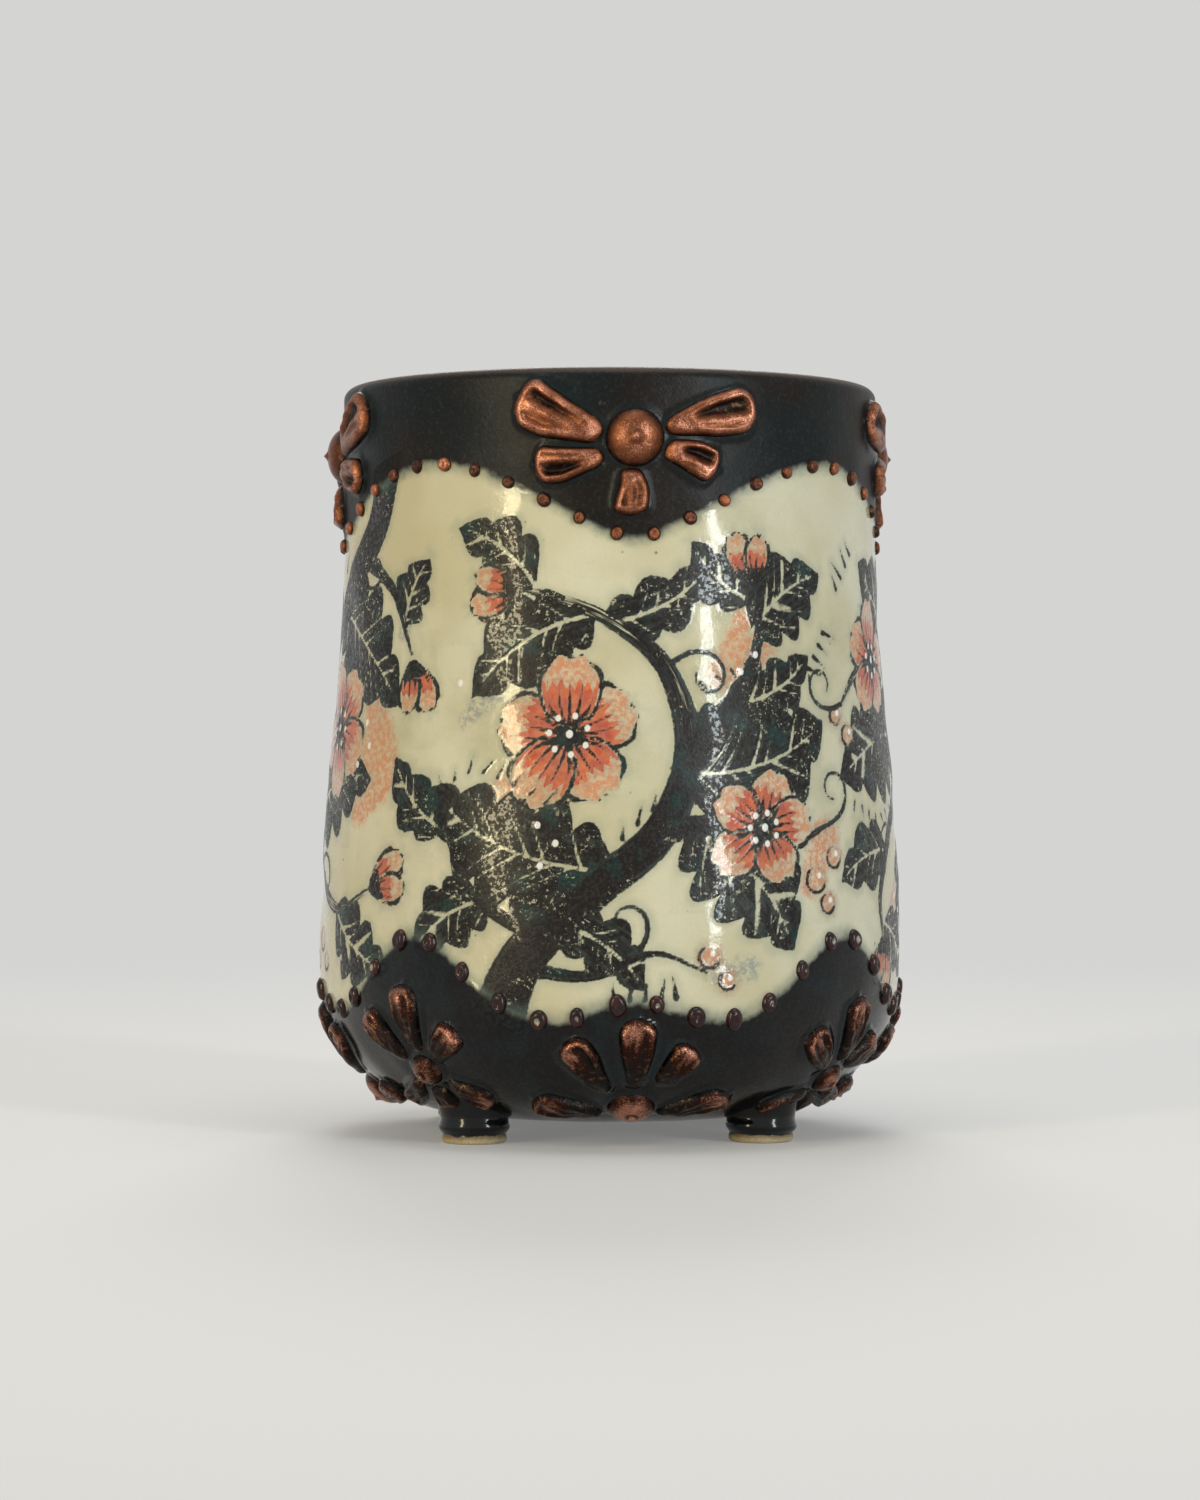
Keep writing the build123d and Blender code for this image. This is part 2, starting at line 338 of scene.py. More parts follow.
# Meshes
def make_piece(name, points, faces, replaced, finish, values=None, normals=None, bake_map=None):
    """A smooth-shaded mesh object, with its named values on its points, that stands for CAD nodes."""
    mesh = bpy.data.meshes.new(name)
    mesh.from_pydata((points.reshape(-1, 3) * METRES).tolist(), [], faces)
    mesh.polygons.foreach_set("use_smooth", [True] * len(mesh.polygons))
    for label, value in (values or {}).items():
        kind, key = ("FLOAT_VECTOR", "vector") if np.ndim(value) == 3 else ("FLOAT", "value")
        attribute = mesh.attributes.new(label, kind, "POINT")
        attribute.data.foreach_set(key, value.astype(np.float32).ravel())
    if bake_map is not None:
        corner_points = np.zeros(len(mesh.loops), np.int32)
        mesh.loops.foreach_get("vertex_index", corner_points)
        layer = mesh.uv_layers.new(name="OFBake")
        layer.data.foreach_set("uv", bake_map.astype(np.float32)[corner_points].ravel())
    if normals is not None:
        mesh.normals_split_custom_set_from_vertices(normals.reshape(-1, 3).tolist())
    mesh.validate()
    mesh.materials.append(finish)
    piece = bpy.data.objects.new(name, mesh)
    bpy.context.scene.collection.objects.link(piece)
    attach(piece, "root")
    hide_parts(*replaced)


def grid_faces(rows, columns, closed=False):
    """Four-sided faces between the points of a grid, whose columns may close on themselves."""
    row, column = np.mgrid[0 : rows - 1, 0 : columns if closed else columns - 1]
    near = row * columns
    far = near + columns
    right = (column + 1) % columns
    ring = (near + column, near + right, far + right, far + column)
    return np.stack([corner.ravel() for corner in ring], axis=1).tolist()


def row_face(row, columns):
    """One face over a whole row of a closed grid."""
    return [row * columns + column for column in range(columns)]


def fan_faces(apex, columns):
    """Faces from the first row of a closed grid to one point."""
    return [[apex, (column + 1) % columns, column] for column in range(columns)]


def turned_over(faces):
    return [face[::-1] for face in faces]


def joined(parts):
    """Several lists of points, faces and values as one."""
    points, faces, values = [], [], {}
    count = 0
    for part_points, part_faces, part_values in parts:
        points.append(part_points)
        faces += [[corner + count for corner in face] for face in part_faces]
        for label, value in part_values.items():
            values.setdefault(label, []).append(value)
        count += len(part_points)
    return np.concatenate(points), faces, {label: np.concatenate(value) for label, value in values.items()}


def bake_layout(rows, columns, upside_down=False):
    """Places of a grid's points on the flat map that the finish is baked to."""
    share = np.linspace(*bake_span, rows)
    across, along = np.meshgrid(np.linspace(*bake_span, columns), share[::-1] if upside_down else share)
    return np.column_stack([across.ravel(), along.ravel()])


def unit_normals(around, up):
    normals = np.cross(around, up)
    return normals / np.maximum(np.linalg.norm(normals, axis=-1, keepdims=True), 1e-12)


# Shader arithmetic
class Signal:
    """A shader value that takes part in arithmetic."""

    def __init__(self, nodes, socket):
        self.nodes = nodes
        self.socket = socket

    def __add__(self, other):
        return self.nodes.math("ADD", self, other)

    def __sub__(self, other):
        return self.nodes.math("SUBTRACT", self, other)

    def __rsub__(self, other):
        return self.nodes.math("SUBTRACT", other, self)

    def __mul__(self, other):
        return self.nodes.math("MULTIPLY", self, other)

    __radd__ = __add__
    __rmul__ = __mul__

    def rises(self, low, high):
        """0 below the lower value and 1 above the higher, with a soft step between."""
        settings = {"interpolation_type": "SMOOTHSTEP"}
        return self.nodes.node("ShaderNodeMapRange", settings, {0: self, 1: low, 2: high})


class Nodes:
    """A node tree in which shader values are worked out."""

    def __init__(self, tree):
        self.tree = tree

    def feed(self, socket, value):
        if isinstance(value, Signal):
            self.tree.links.new(value.socket, socket)
        elif socket.type == "RGBA":
            socket.default_value = (*value, 1)
        else:
            socket.default_value = value

    def node(self, kind, settings, inputs, output=0):
        node = self.tree.nodes.new(kind)
        for name, value in settings.items():
            setattr(node, name, value)
        for socket, value in inputs.items():
            self.feed(node.inputs[socket], value)
        return Signal(self, node.outputs[output])

    def math(self, operation, first, second):
        return self.node("ShaderNodeMath", {"operation": operation}, {0: first, 1: second})

    def larger(self, first, second):
        return self.math("MAXIMUM", first, second)

    def vectors(self, operation, inputs, output=0):
        return self.node("ShaderNodeVectorMath", {"operation": operation}, inputs, output)

    def looked_at(self):
        """1 where the camera sees a surface, directly, mirrored or through something clear."""
        kinds = ("Camera", "Glossy", "Transmission")
        looked, mirrored, passed = (
            self.node("ShaderNodeLightPath", {}, {}, f"Is {kind} Ray") for kind in kinds
        )
        return self.larger(self.larger(looked, mirrored), passed)


class Finish(Nodes):
    """A material with one principled surface."""

    def __init__(self, name, **constants):
        self.material = bpy.data.materials.new(name)
        self.material.use_nodes = True
        super().__init__(self.material.node_tree)
        self.surface = self.tree.nodes["Principled BSDF"]
        self.surfaced(**constants)
        coordinates = self.node("ShaderNodeTexCoord", {}, {}, "Object")
        self.place = self.vectors("SCALE", {0: coordinates, "Scale": 1 / METRES})

    def surfaced(self, **inputs):
        for socket, value in inputs.items():
            self.feed(self.surface.inputs[socket.replace("_", " ")], value)
        return self.material

    def value(self, name, output="Fac"):
        return self.node("ShaderNodeAttribute", {"attribute_name": name}, {}, output)

    def noise(self, size, detail=2.0, rough=0.5, vector=None):
        """Soft noise round 0.5 with patches of about this many millimetres."""
        inputs = {"Vector": vector or self.place, "Scale": 1 / size, "Detail": detail, "Roughness": rough}
        return self.node("ShaderNodeTexNoise", {}, inputs)

    def specks(self, spacing, radius):
        """1 in scattered round specks and 0 between them."""
        inputs = {"Vector": self.place, "Scale": 1 / spacing}
        distance = self.node("ShaderNodeTexVoronoi", {}, inputs, "Distance")
        return 1 - distance.rises(radius / spacing * 0.7, radius / spacing)

    def mix(self, factor, first, second):
        return self.node("ShaderNodeMix", {"data_type": "RGBA"}, {0: factor, 6: first, 7: second}, 2)

    def bump(self, height, distance, strength):
        """Relief of this many millimetres for a height between 0 and 1."""
        inputs = {"Height": height, "Distance": distance * METRES, "Strength": strength}
        return self.node("ShaderNodeBump", {}, inputs)


# Finishes: colours in linear light, scales of the glazes' noise, and depth and strength of the fine relief
slip_brown = (0.0072, 0.0040, 0.0020)
slip_teal = (0.0020, 0.0050, 0.0060)
slip_sand = (0.020, 0.024, 0.025)
slip_rubbed = (0.065, 0.038, 0.024)
slip_wet = (0.0065, 0.0155, 0.0175)
slip_fringe = (0.085, 0.125, 0.110)
lining_fringe = (0.11, 0.14, 0.115)
night_violet = (0.0028, 0.0022, 0.0028)
night_blue = (0.0030, 0.0070, 0.0085)
cream_warm = (0.525, 0.482, 0.315)
cream_pale = (0.600, 0.575, 0.425)
cream_green = (0.49, 0.455, 0.290)
cream_grain = (0.40, 0.370, 0.235)
iron_speck = (0.16, 0.09, 0.045)
dab_grey = (0.17, 0.215, 0.245)
wash_peach = (0.58, 0.225, 0.105)
orange_deep = (0.47, 0.042, 0.008)
orange_light = (0.72, 0.135, 0.022)
ink_halo = (0.19, 0.24, 0.20)
ink_black = (0.0105, 0.0080, 0.0070)
ink_teal = (0.010, 0.028, 0.026)
ink_thin = (0.045, 0.065, 0.055)
dot_white = (0.78, 0.78, 0.74)
foot_violet = (0.0030, 0.0026, 0.0032)
foot_blue = (0.0038, 0.0085, 0.0100)
clay_pale = (0.50, 0.42, 0.27)
clay_dark = (0.36, 0.29, 0.18)
clay_line = (0.13, 0.07, 0.035)
maroon_dark = (0.013, 0.004, 0.004)
maroon_light = (0.042, 0.010, 0.009)
pool_cream = (0.38, 0.35, 0.26)
pool_green = (0.18, 0.20, 0.16)
glaze_constants = {"IOR": 1.5, "Specular_IOR_Level": 0.17, "Coat_Roughness": 0.05, "Coat_IOR": 1.5}
broad_scale = 18
patch_scale = 5
edge_scale = 1.1
grain_scale = 0.35
glaze_relief = (0.09, 0.6)
foot_relief = (0.12, 0.7)
copper_relief = (0.09, 0.9)
bead_relief = (0.05, 0.6)
bubble_place = (-1.1, -37.9, 100.2)
underside_sole_line = -9
foot_sole_line = 1.15

# Copper for the crests, as painted highlight and rubbed lustre, for the slopes, and for the hollows, as
# painted shade and dark patina, and how rough it is
coppers = {
    "copper_lustre": ((0.66, 0.300, 0.200), (0.158, 0.051, 0.022), (0.008, 0.0025, 0.0012), 0.21),
    "deep_copper_lustre": ((0.58, 0.260, 0.175), (0.030, 0.009, 0.005), (0.003, 0.0013, 0.001), 0.14),
    "bead_copper_lustre": ((0.64, 0.27, 0.155), (0.25, 0.082, 0.037), (0.03, 0.010, 0.005), 0.27),
}


def glaze_noises(glaze):
    """Noise on four scales: broad, in patches, along edges and round 0, and fine."""
    wide = glaze.noise(broad_scale, 2)
    patches = glaze.noise(patch_scale, 3)
    edge = glaze.noise(edge_scale, 3, 0.65) - 0.5
    grain = glaze.noise(grain_scale, 2, 0.6)
    return wide, patches, edge, grain


def slip_band(glaze, wide, grain):
    """Satin brown-black slip with a teal cast, rubbed brown along the crest of the lip."""
    satin = glaze.mix(wide.rises(0.40, 0.60), slip_brown, slip_teal)
    sand = glaze.noise(0.55, 3, 0.75).rises(0.50, 0.66)
    satin = glaze.mix(sand * 0.55, satin, slip_sand)
    rubbed = (glaze.value("crest") + (grain - 0.5) * 0.6).rises(0.35, 0.95)
    return glaze.mix(rubbed * 0.7, satin, slip_rubbed)


def cream_body(glaze, wide, patches, grain):
    """Cream glaze, a little greener and darker in places, with iron specks."""
    cream = glaze.mix(wide.rises(0.35, 0.65), cream_warm, cream_pale)
    cream = glaze.mix(patches.rises(0.45, 0.75) * 0.35, cream, cream_green)
    cream = glaze.mix(grain.rises(0.5, 0.75) * 0.16, cream, cream_grain)
    iron = glaze.specks(4.2, 0.24) * patches.rises(0.48, 0.6)
    return glaze.mix(iron * 0.75, cream, iron_speck)


def painted_glaze():
    """Cream glaze with brushed slip under it, between two dark slip bands."""
    glaze = Finish("painted_glaze", **glaze_constants)
    wide, patches, edge, grain = glaze_noises(glaze)
    colour = cream_body(glaze, wide, patches, grain)

    # Grey-blue dabs, peach wash dabbed on with a sponge, and orange petals
    sponge = glaze.noise(0.75, 3, 0.7).rises(0.38, 0.58)
    dab = (glaze.value("dab") + edge * 2.4).rises(-0.9, 0.9)
    colour = glaze.mix(dab * sponge * 0.62, colour, dab_grey)
    wash = (glaze.value("wash") + edge * 2.2 + (grain - 0.5) * 1.2).rises(-0.7, 0.9)
    colour = glaze.mix(wash * (0.25 + sponge * 0.65), colour, wash_peach)
    orange = (glaze.value("orange") + edge * 0.6).rises(-0.12, 0.16)
    flame = glaze.mix(glaze.noise(2.2, 3, 0.6).rises(0.35, 0.7), orange_deep, orange_light)
    colour = glaze.mix(orange * (0.88 + sponge * 0.12), colour, flame)

    # Ink, streaked along the stroke where the brush ran dry, worn through in specks
    brush_place = glaze.vectors("MULTIPLY", {0: glaze.value("stroke", "Vector"), 1: (0.14, 2.4, 1.0)})
    streaks = glaze.noise(1, 3, 0.6, brush_place)
    ink_depth = glaze.value("ink") + edge * 0.5 + (grain - 0.5) * 0.22
    halo = (ink_depth + (patches - 0.5) * 1.4).rises(-1.5, 0.1)
    colour = glaze.mix(halo * 0.30, colour, ink_halo)
    worn = glaze.noise(0.62, 3, 0.75).rises(0.585, 0.65) * glaze.noise(6, 2).rises(0.47, 0.60)
    kept = (streaks + 0.46 - glaze.value("dry") * 0.60).rises(0.30, 0.46)
    ink = ink_depth.rises(-0.08, 0.12) * kept * (1 - worn * 0.9)
    thin = 1 - ink_depth.rises(0.15, 1.2)
    ink_colour = glaze.mix(patches.rises(0.54, 0.70), ink_black, ink_teal)
    ink_colour = glaze.mix(thin * streaks.rises(0.45, 0.6) * 0.5, ink_colour, ink_thin)
    colour = glaze.mix(ink, colour, ink_colour)
    colour = glaze.mix(glaze.value("dot").rises(-0.06, 0.10) * 0.9, colour, dot_white)

    # Dark bands: satin brown-black above, glossy blue-black below, each with a soft blue-green edge
    upper_depth, lower_depth = (
        glaze.value(name) + edge * 1.0 + (patches - 0.5) * 1.6 for name in ("upper_depth", "lower_depth")
    )
    upper = upper_depth.rises(-0.3, 0.8)
    lower = lower_depth.rises(-0.3, 0.8)
    fringe = glaze.larger(upper_depth.rises(-1.8, 0.5), lower_depth.rises(-2.4, 0.5))
    colour = glaze.mix(fringe * (0.40 + patches * 0.55), colour, slip_fringe)
    night = glaze.mix(patches.rises(0.45, 0.68), night_violet, night_blue)
    colour = glaze.mix(upper, colour, slip_band(glaze, wide, grain))
    colour = glaze.mix(lower, colour, night)

    # Slip gathers round the ornaments, wetter and bluer there, and a few blisters stand in it
    gather = glaze.value("gather")
    colour = glaze.mix(gather * (0.25 + patches * 0.6), colour, slip_wet)
    bubble_distance = glaze.vectors("DISTANCE", {0: glaze.place, 1: bubble_place}, "Value")
    bubble = 1 - bubble_distance.rises(0.15, 0.55)
    blisters = glaze.larger(glaze.specks(11, 0.55) * upper, bubble)

    # Gloss: the coat of clear glaze breaks up in specks, most of all over the ink
    broken = glaze.noise(0.50, 2, 0.6).rises(0.47, 0.60)
    dull = (1 - broken) * (0.42 + ink * 0.55)
    coat = (1 - upper * (1 - bubble * 0.6)) * (1 - lower * 0.4) * (1 - dull) * 0.50
    rough = 0.06 + grain * 0.05 + ink * 0.26 + upper * (0.32 - gather * 0.18) + lower * 0.05
    peel = glaze.noise(2.6, 2) * 0.60 + glaze.noise(0.95, 3, 0.65) * 0.75
    relief = peel + grain * (0.22 + upper * 0.40 + ink * 0.55) + blisters * 2.0
    normal = glaze.bump(relief, *glaze_relief)
    return glaze.surfaced(Base_Color=colour, Roughness=rough, Coat_Weight=coat, Normal=normal)


def lining_glaze():
    """Cream glaze inside, under the dark slip that comes over the lip."""
    glaze = Finish("lining_glaze", **glaze_constants)
    wide, patches, edge, grain = glaze_noises(glaze)
    colour = cream_body(glaze, wide, patches, grain)
    slip_depth = glaze.value("upper_depth") + edge * 1.2
    colour = glaze.mix(slip_depth.rises(-1.6, 0.4) * (0.35 + patches * 0.4), colour, lining_fringe)
    slip = slip_depth.rises(-0.2, 0.7)
    colour = glaze.mix(slip, colour, slip_band(glaze, wide, grain))
    rough = 0.12 + slip * 0.30 + grain * 0.08
    relief = glaze.noise(2.6, 2) * 0.45 + glaze.noise(0.9, 2) * 0.30 + grain * (0.07 + slip * 0.28)
    normal = glaze.bump(relief, *glaze_relief)
    return glaze.surfaced(Base_Color=colour, Roughness=rough, Coat_Weight=(1 - slip) * 0.45, Normal=normal)


def dark_glaze(name, sole_line):
    """Glossy blue-black glaze that stops short of a bare clay sole."""
    glaze = Finish(name, **glaze_constants)
    patches = glaze.noise(3, 3)
    grain = glaze.noise(0.3, 3, 0.65)
    black = glaze.mix(patches.rises(0.45, 0.68), foot_violet, foot_blue)
    height = glaze.node("ShaderNodeSeparateXYZ", {}, {0: glaze.place}, "Z")
    bare = 1 - (height + (glaze.noise(1.6, 2) - 0.5) * 0.9).rises(sole_line - 0.12, sole_line + 0.1)
    brown_line = bare * (height + (patches - 0.5) * 0.8).rises(sole_line - 0.75, sole_line)
    clay = glaze.mix(grain.rises(0.35, 0.7), clay_pale, clay_dark)
    clay = glaze.mix(brown_line * 0.75, clay, clay_line)
    colour = glaze.mix(bare, black, clay)
    rough = 0.12 + bare * 0.6 + grain * 0.07
    relief = patches * 0.25 * (1 - bare) + grain * (0.05 + bare * 0.6)
    normal = glaze.bump(relief, *foot_relief)
    return glaze.surfaced(Base_Color=colour, Roughness=rough, Coat_Weight=(1 - bare) * 0.3, Normal=normal)


def copper_lustre(name, bright, mid, dark, gloss):
    """Rubbed copper lustre with a golden cast in streaks, lighter on the crests as painted highlight and
    darker in the hollows as painted shade and unrubbed patina.
    """
    lustre = Finish(name)
    grain = lustre.noise(0.22, 2, 0.75)
    patches = lustre.noise(1.9, 3, 0.6)
    streaks = lustre.noise(0.9, 3, 0.6)
    # The crest value paints highlight on the crests and shade in the hollows, furrows, edges and roots
    shade = lustre.value("crest") + (patches - 0.5) * 0.70 + (grain - 0.5) * 1.10
    colour = lustre.mix(shade.rises(0.05, 0.60), dark, mid)
    colour = lustre.mix(shade.rises(0.62, 1.20), colour, bright)
    golden = (bright[0] * 0.50, bright[1] * 0.55, bright[2] * 0.30)
    colour = lustre.mix(streaks.rises(0.54, 0.74) * 0.40, colour, golden)
    rough = gloss + grain * 0.24 - shade.rises(0.6, 1.1) * 0.06
    metal = 0.70 + shade.rises(0.15, 0.6) * 0.25
    normal = lustre.bump(grain * 0.85 + streaks * 0.45, *copper_relief)
    return lustre.surfaced(Base_Color=colour, Metallic=metal, Roughness=rough, Normal=normal)


def dark_lustre():
    """Maroon beads, some of whose hollow crowns keep a pale pool of glaze."""
    lustre = Finish("dark_lustre", IOR=1.5)
    grain = lustre.noise(0.25, 3, 0.6)
    patches = lustre.noise(1.3, 2)
    maroon = lustre.mix(patches.rises(0.4, 0.65), maroon_dark, maroon_light)
    pool = (lustre.value("crater") + (grain - 0.5) * 0.4).rises(0.35, 0.75)
    pale = lustre.mix(grain.rises(0.4, 0.7), pool_cream, pool_green)
    colour = lustre.mix(pool * patches.rises(0.40, 0.52), maroon, pale)
    rough = 0.16 + grain * 0.1
    normal = lustre.bump(grain, *bead_relief)
    return lustre.surfaced(Base_Color=colour, Metallic=(1 - pool) * 0.35, Roughness=rough, Normal=normal)


# Brushwork
def smooth_path(points, count):
    """Points along a soft curve through the given points, whose numbers may be of any kind."""
    points = np.asarray(points, float)
    if len(points) == 2:
        share = np.linspace(0, 1, count)[:, None]
        return points[0] * (1 - share) + points[1] * share
    padded = np.vstack([2 * points[0] - points[1], points, 2 * points[-1] - points[-2]])
    places = np.linspace(0, len(points) - 1, count)
    index = np.minimum(places.astype(int), len(points) - 2)
    share = (places - index)[:, None]
    before, start, end, after = (padded[index + step] for step in range(4))
    squared = 2 * before - 5 * start + 4 * end - after
    cubed = 3 * start - before - 3 * end + after
    return 0.5 * (2 * start + (end - before) * share + squared * share**2 + cubed * share**3)


class Brushwork:
    """Painted marks on the wall's grid, each kept as a depth in millimetres, positive inside the mark."""

    layers = ("ink", "orange", "wash", "dab", "dot")
    unrolled_radius = 39.5

    def __init__(self, azimuths, heights):
        self.azimuths = azimuths
        self.heights = heights
        shape = (len(heights), len(azimuths))
        self.depth = {layer: np.full(shape, unpainted) for layer in self.layers}
        self.stroke = np.zeros((*shape, 3))
        self.dry = np.zeros(shape)
        self.random = np.random.default_rng(seeds["brush"])

    def turn_to(self, azimuth):
        """Marks that follow are placed in millimetres to the right of this azimuth."""
        around = (self.azimuths - azimuth + 180) % 360 - 180
        self.across = np.radians(around) * self.unrolled_radius

    def window(self, points, margin):
        """Rows and columns of the grid near some points, with their places."""
        low = np.min(points, axis=0) - margin
        high = np.max(points, axis=0) + margin
        rows = np.flatnonzero((self.heights >= low[1]) & (self.heights <= high[1]))
        columns = np.flatnonzero((self.across >= low[0]) & (self.across <= high[0]))
        right, up = np.meshgrid(self.across[columns], self.heights[rows])
        return np.ix_(rows, columns), right, up

    def add(self, layer, window, depth):
        self.depth[layer][window] = np.maximum(self.depth[layer][window], depth)

    def add_ink(self, window, depth, along, across, dry):
        """Ink with its streaks along the stroke, where it lies deeper than what is there."""
        nearer = depth > self.depth["ink"][window]
        seed = self.random.uniform(0, 90)
        mark = np.stack([along, across, np.full(depth.shape, seed)], axis=-1)
        self.stroke[window] = np.where(nearer[..., None], mark, self.stroke[window])
        self.dry[window] = np.where(nearer, dry, self.dry[window])
        self.add("ink", window, depth)

    def cover(self, window, depth, layers=("ink", "orange", "wash")):
        """Take away what was painted before under a new mark."""
        for layer in layers:
            self.depth[layer][window] = np.minimum(self.depth[layer][window], -depth)

    def line(self, points, widths, dry=(0.0, 0.0), steps=26, layer="ink"):
        """A brush stroke through some points, with the brush's width at each of them."""
        path = smooth_path(np.column_stack([points, np.broadcast_to(widths, len(points))]), steps)
        window, right, up = self.window(path[:, :2], np.max(widths) + 2.5)
        best = np.full(right.shape, -9.0)
        along = np.zeros(right.shape)
        across = np.zeros(right.shape)
        travelled = 0.0
        for start, end in zip(path[:-1], path[1:]):
            step = end - start
            length = math.hypot(step[0], step[1]) or 1e-6
            share = ((right - start[0]) * step[0] + (up - start[1]) * step[1]) / length**2
            share = np.clip(share, 0, 1)
            beside = right - start[0] - share * step[0]
            above = up - start[1] - share * step[1]
            depth = (start[2] + share * step[2]) / 2 - np.hypot(beside, above)
            nearer = depth > best
            best = np.where(nearer, depth, best)
            along = np.where(nearer, travelled + share * length, along)
            across = np.where(nearer, (beside * step[1] - above * step[0]) / length, across)
            travelled += length
        if layer == "ink":
            self.add_ink(window, best, along, across, dry[0] + (dry[1] - dry[0]) * along / travelled)
        else:
            self.add(layer, window, best)

    def soft(self, layer, points, widths):
        self.line(points, widths, steps=10, layer=layer)

    def leaf(self, base, tip, width, lobes, bend, dry):
        """A dark lobed leaf with its veins left bare."""
        base, tip = np.asarray(base, float), np.asarray(tip, float)
        length = math.dist(base, tip)
        window, right, up = self.window([base, tip], width + 3)
        along, off = along_and_left(right, up, base, (tip - base) / length)
        share = along / length
        inside = np.clip(share, 0, 1)
        off = off - bend * length * 2 * inside * (1 - inside)
        side = np.sign(off)
        distance = np.abs(off)
        form = np.sin(np.pi * inside**0.75) ** 0.8
        notch = np.abs(np.sin(np.pi * (lobes * inside + 0.12 * side))) ** 0.7
        half = width / 2 * form * (0.60 + 0.40 * notch)
        depth = (half - distance) * 0.75
        depth = np.minimum(depth, np.minimum(share, 1 - share) * length + 0.3)

        # The rib, then the side veins that slant off it
        rib = distance - 0.26 * (1 - inside) ** 0.5
        depth = np.where(inside < 0.9, np.minimum(depth, rib), depth)
        slant = inside * length - distance * (0.9 + 0.25 * side * np.sin(inside * 7))
        spacing = length / (lobes * 1.5)
        order = slant / spacing + 0.5 + 0.22 * np.sin(slant * 0.9 + 1.7 * side)
        nearest = np.abs(order % 1 - 0.5) * spacing
        reach = 0.75 + 0.35 * np.sin(np.floor(order) * 2.4 + side)
        taper = np.clip(1 - distance / np.maximum(half * reach, 0.1), 0, 1)
        vein = nearest * 0.75 - 0.22 * taper**0.7
        inner = (distance < half * 0.85) & (inside > 0.08) & (inside < 0.85)
        depth = np.where(inner, np.minimum(depth, vein), depth)
        self.cover(window, np.minimum(half - distance, 2) - 0.1, ("orange", "wash"))
        self.add_ink(window, depth, inside * length - distance, distance * 0.8, dry * inside)

    def petal(self, root, direction, length, width, stripes=2):
        """An orange petal with a dark outline and stripes that run from its root."""
        ahead = pointing(direction)
        window, right, up = self.window([root, root + ahead * length], width / 2 + 3)
        along, off = along_and_left(right, up, root, ahead)
        share = along / length + 0.035 * np.cos(off * 2 * np.pi / (width * 0.36))
        inside = np.clip(share, 0, 1)
        half = width / 2 * inside**0.6 * (1 - inside) ** 0.42 / 0.492
        depth = (half - np.abs(off)) * 0.8
        depth = np.minimum(depth, np.minimum(share, 1 - share) * length + 0.2)
        self.cover(window, depth + 0.2)
        self.add("wash", window, depth - 0.1)
        throat = (0.60 + 0.07 * np.cos(off * 5.1)) * length - inside * length
        self.add("orange", window, np.minimum(depth - 0.25, throat))
        self.add("ink", window, 0.275 - np.abs(depth))
        for number in range(-stripes, stripes + 1):
            lane = half * number / (stripes + 0.7)
            taper = np.clip(1 - inside / (0.72 - 0.12 * abs(number)), 0, 1)
            stripe = 0.36 * taper**0.7 - np.abs(off - lane)
            self.add("ink", window, np.where((inside > 0.05) & (inside < 0.72), stripe, -1))

    def dots(self, points, width):
        for point in points:
            window, right, up = self.window([point], width + 2)
            self.add("dot", window, width / 2 - np.hypot(right - point[0], (up - point[1]) * 0.85))

    def flicks(self, points, length, spread, side, count, width=0.55):
        """Short tapering ticks along one side of a stroke."""
        path = smooth_path(points, count)
        for place, step in zip(path, np.gradient(path, axis=0)):
            angle = math.degrees(math.atan2(step[1], step[0])) + side * self.random.uniform(*spread)
            end = place + length * self.random.uniform(0.6, 1.2) * pointing(angle)
            self.line([place, end], (width, width * 0.25), steps=3)

    def blossom(self, centre, size, turn):
        """An open flower of five striped petals round a dotted middle."""
        for number in range(5):
            direction = turn + 72 * (number * 2 % 5) + self.random.uniform(-7, 7)
            root = centre + 0.10 * size * pointing(direction)
            self.petal(root, direction, size * self.random.uniform(0.86, 1.02), size * 0.86)
        window, right, up = self.window([centre], size * 0.4)
        heart = size * 0.17 - np.hypot(right - centre[0], up - centre[1])
        self.cover(window, heart + 0.1, ("orange",))
        self.add("ink", window, heart)
        self.dots([centre + size * 0.27 * pointing(turn + number * 360 / 7) for number in range(7)], 0.85)
        self.dots([np.add(centre, 0.1)], 1.0)

    def bud(self, root, direction):
        """Two closed petals in a dark cup."""
        ahead = pointing(direction)
        beside = np.array([-ahead[1], ahead[0]])
        self.petal(root + 0.4 * beside, direction + 17, 6.6, 4.4, 1)
        self.petal(root - 0.4 * beside, direction - 17, 5.8, 4.0, 1)
        cup = [root + 1.9 * beside + 1.2 * ahead, root, root - 1.9 * beside + 1.2 * ahead]
        self.line(cup, (0.6, 2.6, 0.6), steps=8)

    def berry(self, centre, size):
        """A pale round with a dark ring, open towards the light, and a white dot."""
        window, right, up = self.window([centre], size + 2)
        reach = np.hypot(right - centre[0], up - centre[1])
        self.cover(window, size / 2 - reach + 0.2, ("ink", "orange"))
        self.add("wash", window, size / 2 - reach + 0.4)
        gap = np.clip(np.cos(np.arctan2(up - centre[1], right - centre[0]) - 0.9), 0, 1)
        self.add("ink", window, 0.26 - np.abs(reach - size / 2) - 0.25 * gap)
        self.dots([centre + size * np.array([0.16, 0.18])], 0.8)

    def tendril(self, root, direction, length, curl):
        """A thin curl that tightens towards its end, to the left for a positive curl."""
        steps = 22
        share = np.linspace(0, 1, steps)
        angles = np.radians(direction + curl * share**1.8)
        path = root + np.cumsum(length / steps * np.column_stack([np.cos(angles), np.sin(angles)]), axis=0)
        self.line(path, 0.85 - 0.5 * share, (0.0, 0.4), 40)


